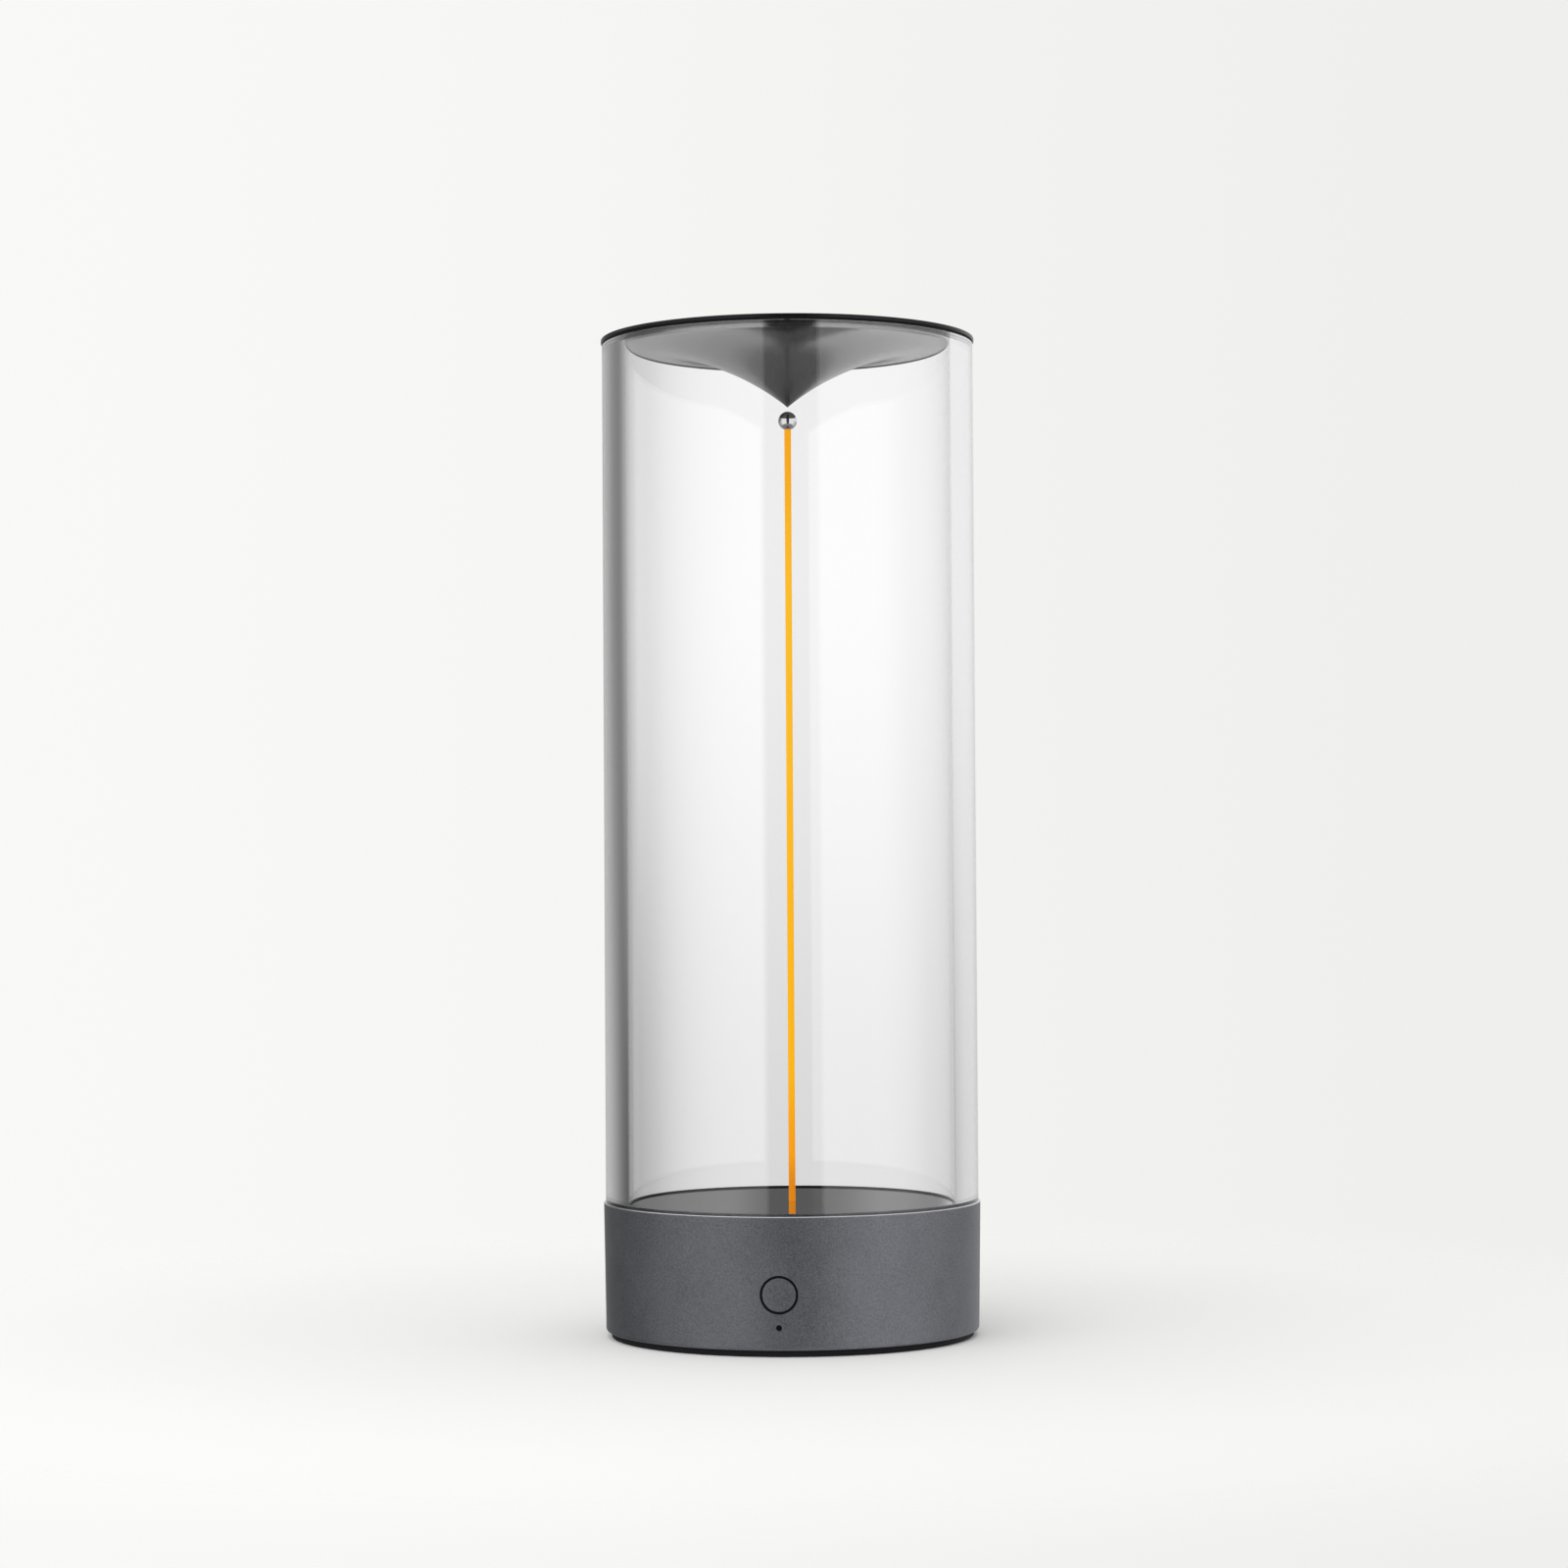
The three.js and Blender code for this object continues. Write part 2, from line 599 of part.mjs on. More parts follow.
function makeBattery() {
  const wallStart = stripEnd + stripRoom;
  const tray = block([-wallStart - cradleWall, -cradleHalfWidth, coverTop],
    [wallStart + cradleWall, cradleHalfWidth, coverTop + cradleHeight]);
  const cuts = [];
  for (const side of [-1, 1]) {
    cuts.push(rod(cellRadius + cellFit, -wallStart, wallStart, cellFacets)
      .rotateY(Math.PI / 2).translate(0, side * cellY, cellAxis));
    const [near, far] = side < 0 ? [-wallStart, -cellEnd] : [cellEnd, wallStart];
    const pocketFloor = cellAxis - stripHalfHeight - stripRoom;
    cuts.push(block([near, -stripHalfWidth - stripRoom, pocketFloor],
      [far, stripHalfWidth + stripRoom, cellAxis]));
    const cell = turned(cellOutline(), cellFacets).rotateY(Math.PI / 2).translate(0, side * cellY, cellAxis);
    add(power, side < 0 ? "front_cell" : "rear_cell", cell, cellWrap);
    const [low, high] = side < 0 ? [-stripEnd, -cellEnd] : [cellEnd, stripEnd];
    add(power, side < 0 ? "negative_strip" : "positive_strip", block(
      [low, -stripHalfWidth, cellAxis - stripHalfHeight], [high, stripHalfWidth, cellAxis + stripHalfHeight],
    ), stripNickel);
  }
  add(power, "cell_cradle", cut(tray, ...cuts), hardBlack);
}

function makeButton() {
  const bezel = joined(
    rod(bezelRadius, bezelBack, rimRadius, smallFacets),
    rod(bezelFlangeRadius, bezelBack, bezelFront, smallFacets),
  );
  const bore = rod(bezelBore, bezelBack - overrun, rimRadius + overrun, smallFacets);
  const bezelPiece = shared(facingFront(cut(bezel, bore), buttonAxis), drum(bezelRecess));
  add(control, "button_bezel", bezelPiece, hardBlack);
  const cap = turned([
    [0, stemBack], [stemRadius, stemBack], [stemRadius, capFlangeBack],
    [bezelBore + capFlangeWidth, capFlangeBack], [bezelBore + capFlangeWidth, capFlangeFront],
    [buttonRadius, capFlangeFront], [buttonRadius, rimRadius], [0, rimRadius],
  ], smallFacets);
  add(control, "button_cap", shared(facingFront(cap, buttonAxis), drum(0)), anodised);
}

function makeSwitch() {
  const body = block([-switchHalfWidth, -switchFront, buttonAxis - switchHalfWidth],
    [switchHalfWidth, -switchBack, buttonAxis + switchHalfWidth]);
  const well = rod(plungerRadius + plungerFit, switchFront - plungerInside - buttonTravel - plungerRoom,
    switchFront + overrun);
  add(control, "switch_body", cut(body, facingFront(well, buttonAxis)), hardBlack);
  add(control, "switch_plunger",
    facingFront(rod(plungerRadius, switchFront - plungerInside, plungerFront), buttonAxis), connectorIvory);
  add(control, "switch_board", block(
    [-switchBoardHalfWidth, -switchBack, coverTop + switchBoardLift],
    [switchBoardHalfWidth, -bracketFront, buttonAxis + switchBoardRise],
  ), boardGreen);
  const upright = block([-switchBoardHalfWidth, -bracketFront, coverTop],
    [switchBoardHalfWidth, -bracketBack, buttonAxis + switchBoardRise]);
  const foot = block([-switchBoardHalfWidth, -bracketFront, coverTop],
    [switchBoardHalfWidth, bracketFootLength - bracketBack, coverTop + bracketFootThickness]);
  const screwPlaces = [-bracketScrewHalfSpacing, bracketScrewHalfSpacing];
  const holes = screwPlaces.map((x) => rod(smallScrewRadius + screwFit, coverTop - overrun,
    coverTop + bracketFootThickness + overrun).translate(x, -bracketScrewY, 0));
  add(control, "switch_bracket", cut(joined(upright, foot), ...holes), hardBlack);
  screwPlaces.forEach((x, i) => add(control, "bracket_screw_" + (i + 1),
    smallScrew(bracketScrewLength).rotateX(Math.PI), screwSteel,
    [x, -bracketScrewY, coverTop + bracketFootThickness]));
}

function makeIndicator() {
  const ledFront = switchBack + indicatorDepth;
  const collarFront = wallSeat(pipeCollarRadius);
  const collarBack = collarFront - pipeCollarThickness;
  const pipe = turned([
    [0, ledFront + pipeGap], [pipeRadius, ledFront + pipeGap], [pipeRadius, collarBack],
    [pipeCollarRadius, collarBack], [pipeCollarRadius, collarFront], [pipeRadius, collarFront],
    [pipeRadius, rimRadius], [0, rimRadius],
  ], screwFacets);
  add(control, "indicator_pipe", shared(facingFront(pipe, indicatorAxis), drum(pipeRecess)), clearPipe);
  add(control, "indicator_led", block(
    [-indicatorHalfWidth, -ledFront, indicatorAxis - indicatorHalfWidth],
    [indicatorHalfWidth, -switchBack, indicatorAxis + indicatorHalfWidth],
  ), ledWhite);
}

function makeCharging() {
  const back = usbMouth - usbDepth;
  const cavity = roundEndedBar(usbWidth - 2 * usbMetal, usbHeight - 2 * usbMetal,
    back + usbBackWall, usbMouth + overrun);
  add(power, "usb_socket", cut(roundEndedBar(usbWidth, usbHeight, back, usbMouth), cavity), stripNickel);
  add(power, "usb_tongue", block(
    [-tongueHalfWidth, back + usbBackWall, buttonAxis - tongueHalfThickness],
    [tongueHalfWidth, usbMouth - tongueSetback, buttonAxis + tongueHalfThickness],
  ), hardBlack);
  const board = block([-usbBoardHalfWidth, usbBoardRear, usbBoardBottom],
    [usbBoardHalfWidth, usbBoardFront, usbBoardTop]);
  const screwPlaces = [-usbScrewHalfSpacing, usbScrewHalfSpacing];
  const holes = screwPlaces.map((x) => rod(smallScrewRadius + screwFit, usbBoardBottom - overrun,
    usbBoardTop + overrun).translate(x, usbPostY, 0));
  add(power, "usb_board", cut(board, ...holes), boardGreen);
  screwPlaces.forEach((x, i) => add(power, "usb_screw_" + (i + 1),
    smallScrew(usbScrewLength).rotateX(Math.PI), screwSteel, [x, usbPostY, usbBoardTop]));
}

// The wires inside the base, each along its real route from end to end.
function makeLeads() {
  const connectorFront = boardRadius - connectorInset;
  const connectorMiddle = connectorFront - connectorDepth / 2;
  const entry = boardBottom - connectorHeight / 2;
  const under = boardBottom - connectorHeight - leadGap;
  const run = under - 2 * 2 * leadRadius;
  const besideCells = cradleHalfWidth + leadRadius + leadGap;
  const out = stripEnd + cradleWall + stripRoom + leadRadius;
  const spread = connectorWidth * leadSpreadShare;
  for (const [name, side, material] of [["black_lead", -1, wireBlack], ["red_lead", 1, wireRed]]) {
    const end = side * spread - connectorSpread;
    add(power, name, lead([
      [side * (stripEnd + leadGap), -cellRadius / 2, cellAxis + stripHalfHeight / 2],
      [side * out, -cellRadius / 2, cellAxis + stripHalfHeight / 2],
      [side * out, -cellRadius, run],
      [side * out, leadRadius - cradleHalfWidth, run],
      [side * (cellEnd - cellRadius / 2), -besideCells, run],
      [end + side * connectorDepth, -besideCells, run],
      [end, -connectorMiddle, under - leadRadius],
      [end, -connectorMiddle, under],
    ]), material);
  }
  const boardTop = buttonAxis + switchBoardRise;
  const middle = (switchBack + bracketFront) / 2;
  const switchX = connectorSpread - connectorWidth;
  add(control, "switch_lead", lead([
    [switchX, -middle, boardTop + leadGap],
    [switchX, -middle, boardTop + leadGap + leadRadius],
    [switchX, leadRadius * 2 - middle, entry],
    [switchX, -connectorFront - leadGap, entry],
  ]), wireGrey);
  const rise = (usbBoardRear + connectorFront) / 2;
  const usbX = connectorWidth / 2 - leadRadius;
  add(power, "usb_lead", lead([
    [usbX, usbBoardRear - leadGap, usbBoardBottom + usbBoardThickness / 2],
    [usbX, rise, usbBoardTop],
    [usbX, rise, entry - usbHeight],
    [usbX, rise - leadRadius, entry],
    [usbX, connectorFront + leadGap, entry],
  ]), wireGrey);
}

function makeLight() {
  const socketTop = ledgeBottom + socketHeight;
  add(light, "filament_socket", rod(socketRadius, ledgeBottom, socketTop, smallFacets), connectorIvory);
  const ferruleBottom = socketTop + ferruleGap;
  const ferruleInside = ferruleBottom + ferruleFloor;
  const ferruleTop = deckBottom - ferruleHeadroom;
  add(light, "filament_ferrule", turned([
    [0, ferruleBottom], [ferruleRadius, ferruleBottom], [ferruleRadius, ferruleTop],
    [ferruleBoreRadius, ferruleTop], [ferruleBoreRadius, ferruleInside], [0, ferruleInside],
  ], smallFacets), flexCopper);
  add(light, "filament_guide", turned([
    [filamentHole, deckBottom], [guideRadius, deckBottom], [guideRadius, deckBottom + guideThickness],
    [filamentHole, deckBottom + guideThickness],
  ], smallFacets), softBlack);
  const foot = ferruleInside + filamentFootGap;
  const ballBottom = ballMiddle - ballRadius;
  const top = ballBottom + ballSocketDepth - ballSocketRoom;
  add(light, "filament_jacket", turned([
    [filamentBoreRadius, foot], [filamentRadius, foot], [filamentRadius, top], [filamentBoreRadius, top],
  ], smallFacets), amberSilicone);
  add(light, "filament_circuit", block([-flexWidth / 2, -flexThickness / 2, foot + flexTail],
    [flexWidth / 2, flexThickness / 2, top - flexTail]), flexCopper);
  const sphere = new THREE.SphereGeometry(ballRadius, smallFacets, screwFacets).rotateX(Math.PI / 2);
  const socket = rod(filamentRadius + ballSocketFit, -ballRadius - overrun, ballSocketDepth - ballRadius,
    smallFacets);
  add(light, "steel_ball", cut(sphere, socket).translate(0, 0, ballMiddle), polishedSteel);
}

// The underside of the lid is one arc: level at the plug's edge, and steepest at the point in the middle.
const flareAngle = 2 * Math.atan(flareDepth / plugRadius);
const flareRadius = plugRadius / Math.sin(flareAngle);

// The height of the flare's underside at a distance from the middle.
function flareHeight(radius) {
  const across = (plugRadius - radius) / flareRadius;
  return plugBottom - flareRadius * (1 - Math.sqrt(1 - across * across));
}

// Points along the flare between two distances from the middle, raised by the wall of the sheet.
function flareArc(from, to, raise, steps) {
  return Array.from({ length: steps + 1 }, (_, i) => {
    const radius = from + ((to - from) * i) / steps;
    return [radius, flareHeight(radius) + raise];
  });
}

function makeLid() {
  add(lid, "lid_plate", turned([
    [0, lidBottom], [lidRadius - lidChamfer, lidBottom], [lidRadius, lidBottom + lidChamfer],
    [lidRadius, lidTop - lidChamfer], [lidRadius - lidChamfer, lidTop], [0, lidTop],
  ]), lidMetal);
  const gasketBore = plugRadius + gasketFit;
  const gasketRadius = lidRadius - lidGasketInset;
  add(lid, "lid_gasket", turned([
    [gasketBore, tubeTop], [gasketRadius, tubeTop], [gasketRadius, lidBottom], [gasketBore, lidBottom],
  ]), softBlack);
  const pocket = magnetRadius + magnetFit;
  const magnetSeat = flareHeight(pocket) + flareWall;
  const magnetTop = magnetSeat + magnetHeight;
  add(lid, "lid_flare", turned([
    ...flareArc(0, plugRadius - plugChamfer, 0, flareSteps),
    [plugRadius, plugBottom + plugChamfer], [plugRadius, lidBottom], [plugRadius - plugWall, lidBottom],
    ...flareArc(plugRadius - plugWall, pocket, flareWall, hollowSteps), [0, magnetSeat],
  ]), lidMetal);
  add(lid, "lid_magnet", rod(magnetRadius, magnetSeat, magnetTop, smallFacets), magnetPlate);
  const retainerBottom = flareHeight(retainerRadius) + flareWall + retainerGap;
  add(lid, "magnet_retainer", turned([
    [0, magnetTop], [pocket, magnetTop], [pocket, retainerBottom], [retainerRadius, retainerBottom],
    [retainerRadius, lidBottom], [0, lidBottom],
  ], smallFacets), hardBlack);
}

makeFoot();
makeCover();
makeShell();
makeTubeSeat();
makeDeck();
makeMainBoard();
makeBattery();
makeButton();
makeSwitch();
makeIndicator();
makeCharging();
makeLeads();
makeLight();
makeLid();

export default lamp;
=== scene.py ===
"""Bedside lamp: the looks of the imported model.

A clear tube stands in a round bead-blasted base under a thin dark lid whose underside flares down to a
point. An amber light strip rises from the glossy deck to a small steel ball, which hovers under the point.
Every size is in metres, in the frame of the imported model, and is taken from it where it has one.
"""
import json
import logging
import math
from dataclasses import dataclass
from enum import Enum
from typing import Any, Callable, Optional, Sequence

import bmesh
import bpy
from mathutils import Matrix, Vector


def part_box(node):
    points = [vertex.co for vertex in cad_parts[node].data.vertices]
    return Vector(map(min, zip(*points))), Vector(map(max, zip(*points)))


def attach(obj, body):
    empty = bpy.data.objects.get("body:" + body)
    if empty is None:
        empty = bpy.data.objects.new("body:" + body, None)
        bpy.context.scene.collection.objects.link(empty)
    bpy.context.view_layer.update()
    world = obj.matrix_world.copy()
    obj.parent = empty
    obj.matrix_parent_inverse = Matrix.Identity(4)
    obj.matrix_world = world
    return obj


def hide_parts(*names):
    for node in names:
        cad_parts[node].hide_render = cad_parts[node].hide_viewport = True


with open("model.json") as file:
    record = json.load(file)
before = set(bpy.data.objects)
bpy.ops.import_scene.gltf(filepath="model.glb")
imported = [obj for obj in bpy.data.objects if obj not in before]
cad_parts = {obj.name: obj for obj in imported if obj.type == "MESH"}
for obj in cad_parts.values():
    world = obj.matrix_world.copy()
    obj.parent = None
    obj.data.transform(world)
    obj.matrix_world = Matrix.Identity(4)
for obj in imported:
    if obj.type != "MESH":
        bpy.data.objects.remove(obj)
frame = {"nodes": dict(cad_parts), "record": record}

MM = 0.001
TINY = 1e-7
AIR = 0.04 * MM  # between the tube's polished ends and their gaskets, so that the ends mirror
PLAY = 0.1 * MM  # between parts that slide into each other
SOFT = 0.1 * MM  # the softened edge of gaskets and small parts
ROOT = 1 * MM  # how far a post goes into what it joins, and a cutter beyond what it cuts
COVER_SCREWS = tuple(f"cover_screw_{i}" for i in range(1, 5))
COVER_SCREW_HOLE = 1.35 * MM
SMALL_SCREW_HOLE = 1.1 * MM
SCREW_ROOM = 0.4 * MM  # left free beyond a screw's end
ROUND = 240  # facets round the lamp's own axis
FINE = 96  # facets round a fitting
SMALL = 48  # facets round a small part
SHARP = math.radians(32)

Outline = list[tuple[float, float]]
Colour = tuple[float, float, float]

log = logging.getLogger("bedside_lamp")


# Measuring the frame


@dataclass(frozen=True)
class Extent:
    """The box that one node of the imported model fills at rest.

    Args:
        low: The lowest corner.
        high: The highest corner.
    """

    low: Vector
    high: Vector

    @classmethod
    def of(cls, node: str) -> "Extent":
        """Measures a node."""
        low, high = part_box(node)
        return cls(low, high)

    @property
    def radius(self) -> float:
        """Half the width along X."""
        return (self.high.x - self.low.x) / 2

    @property
    def bottom(self) -> float:
        """The lowest height."""
        return self.low.z

    @property
    def top(self) -> float:
        """The greatest height."""
        return self.high.z

    @property
    def middle(self) -> Vector:
        """The middle of the box."""
        return (self.low + self.high) / 2


# Making meshes


class Side(Enum):
    """The side of the base that a fitting sits in."""

    FRONT = -1
    BACK = 1


class Merge(Enum):
    """What a boolean does with the bodies that it is given."""

    ADD = "UNION"
    CUT = "DIFFERENCE"


@dataclass(frozen=True)
class Station:
    """One ring of a fitting that is pressed into the base's wall.

    Args:
        spread: Distance from the fitting's middle line.
        place: Depth below the shell's face, or distance from the lamp's axis.
        follows: Whether place is a depth that follows the shell's face.
    """

    spread: float
    place: float
    follows: bool = True


def fixed(*places: tuple[float, float]) -> list[Station]:
    """Stations that don't follow the shell's face, each as its spread and its distance from the axis."""
    return [Station(spread, distance, False) for spread, distance in places]


def evenly(start: float, end: float, steps: int) -> list[float]:
    """Evenly spaced values from start to end."""
    return [start + (end - start) * i / steps for i in range(steps + 1)]


def band(inner: float, outer: float, low: float, high: float) -> Outline:
    """The outline of a plain ring, or of a disc where inner is 0."""
    return [(inner, low), (outer, low), (outer, high), (inner, high)]


def arc(centre: tuple[float, float], radius: float, turns: Sequence[float]) -> Outline:
    """Points on a circle, as (radius, height), at angles from outwards."""
    return [(centre[0] + radius * math.cos(a), centre[1] + radius * math.sin(a)) for a in turns]


def rounded(outline: Outline, radius: float | Sequence[float], steps: int = 4) -> Outline:
    """Rounds the corners of a closed outline that lie off the axis.

    Args:
        outline: Points of (radius, height).
        radius: How far from a corner the rounding starts, as one value for all or one for each.
        steps: The steps of each rounding.

    Returns:
        The outline with arcs for corners.
    """
    straight = math.radians(172)
    most = 1 / 2.2  # of a side that one rounding may take
    points = [Vector(p) for p in outline]
    reaches = [radius] * len(points) if isinstance(radius, float) else radius
    result: Outline = []
    for i, (corner, reach) in enumerate(zip(points, reaches)):
        before = points[i - 1] - corner
        after = points[(i + 1) % len(points)] - corner
        if corner.x <= TINY or reach <= TINY or before.angle(after, math.pi) > straight:
            result.append((corner.x, corner.y))
            continue
        start = corner + before.normalized() * min(reach, before.length * most)
        end = corner + after.normalized() * min(reach, after.length * most)
        for t in evenly(0.0, 1.0, steps):
            point = start * (1 - t) ** 2 + corner * 2 * t * (1 - t) + end * t**2
            result.append((point.x, point.y))
    return result


class MeshShop:
    """Makes closed meshes from outlines, in code."""

    @staticmethod
    def piece(name: str, shape: bmesh.types.BMesh) -> bpy.types.Object:
        """Turns a finished bmesh into an object of the scene.

        Args:
            name: The piece's name.
            shape: The bmesh, which is freed.

        Returns:
            The new object.
        """
        bmesh.ops.recalc_face_normals(shape, faces=shape.faces)
        mesh = bpy.data.meshes.new(name)
        shape.to_mesh(mesh)
        shape.free()
        made = bpy.data.objects.new(name, mesh)
        bpy.context.scene.collection.objects.link(made)
        return made

    @staticmethod
    def skin(shape: bmesh.types.BMesh, rings: Sequence[Sequence[Any]], count: int, closed: bool) -> None:
        """Joins rings of points into a skin.

        Args:
            shape: The bmesh that holds the points.
            rings: The rings, each of one point or of count points.
            count: The points of a full ring.
            closed: Whether the last ring joins the first. Otherwise a flat face closes each full end.
        """
        for end in () if closed else (rings[0], rings[-1]):
            if len(end) > 1:
                shape.faces.new(end)
        for near, far in zip(rings, [*rings[1:], *(rings[:1] if closed else [])]):
            if len(near) == len(far) == 1:
                continue
            for i in range(count):
                j = (i + 1) % count
                corners = [near[i % len(near)], near[j % len(near)], far[j % len(far)], far[i % len(far)]]
                shape.faces.new(list(dict.fromkeys(corners)))

    @classmethod
    def turned(cls, name: str, outline: Outline, facets: int = ROUND) -> bpy.types.Object:
        """Turns a closed outline about +Z.

        Args:
            name: The piece's name.
            outline: Points of (radius, height), in order.
            facets: The facets round the axis.

        Returns:
            The new object.
        """
        shape = bmesh.new()
        turns = [(math.cos(a), math.sin(a)) for a in (2 * math.pi * i / facets for i in range(facets))]
        rings = []
        for radius, height in outline:
            around = turns if radius > TINY else [(0.0, 0.0)]
            rings.append([shape.verts.new((radius * c, radius * s, height)) for c, s in around])
        cls.skin(shape, rings, facets, closed=True)
        return cls.piece(name, shape)

    @classmethod
    def column(cls, middle: Vector, radius: float, low: float, high: float) -> bpy.types.Object:
        """Makes a round column about a vertical line, to add or to cut.

        Args:
            middle: A point on the line.
            radius: Its radius.
            low: Its lowest height.
            high: Its greatest height.

        Returns:
            The column.
        """
        made = cls.turned("column", band(0, radius, low, high), SMALL)
        made.data.transform(Matrix.Translation((middle.x, middle.y, 0)))
        return made

    @classmethod
    def pressed(
        cls,
        name: str,
        stations: Sequence[Station],
        face: Callable[[float], float],
        height: float,
        side: Side = Side.FRONT,
        straight: float = 0.0,
        closed: bool = False,
        facets: int = FINE,
    ) -> bpy.types.Object:
        """Makes a fitting that is pressed into the base's wall along Y.

        Args:
            name: The piece's name.
            stations: The fitting's rings, in order.
            face: Gives the shell's radius at a height.
            height: The height of the fitting's middle line.
            side: The side of the base.
            straight: Half the straight length between its round ends.
            closed: Whether the last ring joins the first.
            facets: The facets round the middle line.

        Returns:
            The new object.
        """
        shape = bmesh.new()
        rings = []
        for station in stations:
            ring = []
            lone = station.spread <= TINY and straight == 0
            for i in range(1 if lone else facets):
                turn = 2 * math.pi * (i + 1 / 2) / facets
                across = math.copysign(straight, math.cos(turn)) + station.spread * math.cos(turn)
                up = station.spread * math.sin(turn)
                away = station.place
                if station.follows:
                    radius = face(height + up)
                    away = math.sqrt(radius * radius - across * across) - station.place
                ring.append(shape.verts.new((across, side.value * away, height + up)))
            rings.append(ring)
        cls.skin(shape, rings, facets, closed)
        return cls.piece(name, shape)

    @classmethod
    def slab(cls, name: str, low: Sequence[float], high: Sequence[float]) -> bpy.types.Object:
        """Makes a block with softened edges.

        Args:
            name: The piece's name.
            low: Its lowest corner.
            high: Its highest corner.

        Returns:
            The new object.
        """
        shape = bmesh.new()
        bmesh.ops.create_cube(shape, size=1.0)
        for vert in shape.verts:
            vert.co = Vector(end if side > 0 else start for side, start, end in zip(vert.co, low, high))
        bmesh.ops.bevel(
            shape, geom=shape.edges[:], offset=SOFT, segments=2, profile=0.5, affect="EDGES",
            clamp_overlap=True,
        )
        return cls.piece(name, shape)

    @staticmethod
    def merged(target: bpy.types.Object, others: Sequence[bpy.types.Object], way: Merge) -> None:
        """Joins bodies to a piece, or cuts them out of it, and removes them.

        Args:
            target: The piece that stays.
            others: The bodies to join or cut.
            way: Which of the two.
        """
        for other in others:
            change = target.modifiers.new(way.name, "BOOLEAN")
            change.object = other
            change.operation = way.value
            change.solver = "MANIFOLD"
        graph = bpy.context.evaluated_depsgraph_get()
        mesh = bpy.data.meshes.new_from_object(target.evaluated_get(graph))
        target.modifiers.clear()
        plain = target.data
        target.data = mesh
        bpy.data.meshes.remove(plain)
        for other in others:
            gone = other.data
            bpy.data.objects.remove(other)
            bpy.data.meshes.remove(gone)


# Finishes


class Wiring:
    """Adds nodes to one node tree and links them."""

    def __init__(self, tree: bpy.types.NodeTree) -> None:
        """Starts on a tree."""
        self.tree = tree

    @classmethod
    def on(cls, holder: Any) -> "Wiring":
        """Starts on the emptied tree of a material or a world.

        Args:
            holder: The material or the world.

        Returns:
            The wiring.
        """
        holder.use_nodes = True
        holder.node_tree.nodes.clear()
        return cls(holder.node_tree)

    def add(self, kind: str, inputs: Optional[dict] = None, **settings: Any) -> bpy.types.Node:
        """Adds a node.

        Args:
            kind: The node's type.
            inputs: Values or sockets for its inputs, by name or number.
            settings: Values for its own properties.

        Returns:
            The node.
        """
        node = self.tree.nodes.new(kind)
        for name, value in settings.items():
            setattr(node, name, value)
        for name, value in (inputs or {}).items():
            socket = node.inputs[name]
            if isinstance(value, bpy.types.NodeSocket):
                self.tree.links.new(value, socket)
            else:
                socket.default_value = value
        return node

    def calc(self, way: str, first: Any, second: Any = 0.0, third: Any = 0.0) -> bpy.types.NodeSocket:
        """Adds a Math node of one, two or three values."""
        return self.add("ShaderNodeMath", {0: first, 1: second, 2: third}, operation=way).outputs[0]

    def ramp(self, value: Any, low: float, high: float, start: Any, end: Any) -> bpy.types.NodeSocket:
        """Adds a smooth change from one value to another.

        Args:
            value: What drives the change.
            low: Where it starts.
            high: Where it ends.
            start: The value below low.
            end: The value above high.

        Returns:
            The result's socket.
        """
        inputs = {0: value, 1: low, 2: high, 3: start, 4: end}
        node = self.add("ShaderNodeMapRange", inputs, interpolation_type="SMOOTHSTEP")
        return node.outputs[0]

    def either(self, second_holds: Any, first: Any, second: Any) -> bpy.types.NodeSocket:
        """Adds a choice between two values, by a 0 or a 1."""
        return self.ramp(second_holds, 0.0, 1.0, first, second)

    def blend(self, share: Any, first: Any, second: Any) -> bpy.types.NodeSocket:
        """Adds a mix of two colours.

        Args:
            share: The share of the second colour.
            first: The first colour or socket.
            second: The second colour or socket.

        Returns:
            The result's socket.
        """
        colours = {i: (*c, 1.0) if isinstance(c, tuple) else c for i, c in ((6, first), (7, second))}
        return self.add("ShaderNodeMix", {0: share, **colours}, data_type="RGBA").outputs[2]

    def mix(self, share: Any, first: Any, second: Any) -> bpy.types.NodeSocket:
        """Adds a mix of two shaders, with a share of the second."""
        return self.add("ShaderNodeMixShader", {0: share, 1: first, 2: second}).outputs[0]

    def place(self, kind: str = "Object") -> bpy.types.NodeSocket:
        """Adds the coordinates of the point, or Generated ones, which are a world's direction."""
        return self.add("ShaderNodeTexCoord").outputs[kind]

    def split(self, vector: Any) -> Sequence[bpy.types.NodeSocket]:
        """Adds the three parts of a vector."""
        return self.add("ShaderNodeSeparateXYZ", {0: vector}).outputs

    def path(self) -> Any:
        """Adds what kind of ray arrives."""
        return self.add("ShaderNodeLightPath").outputs

    def mirrored(self, path: Any) -> bpy.types.NodeSocket:
        """Adds a 1 for rays that were mirrored on their way. Is Glossy Ray holds for refracted ones too."""
        return self.calc("GREATER_THAN", path["Glossy Depth"], 0.5)


class Effect(Enum):
    """A surface effect that several finishes share.

    Each has its name, its octaves of detail, and the scale of its broad patches as a share of its marks' own.
    """

    GRAIN = ("fine_grain", 3.0, 0.04)
    TURNED = ("turned_marks", 2.0, 0.02)
    BRUSHED = ("fine_scratches", 1.0, 0.05)


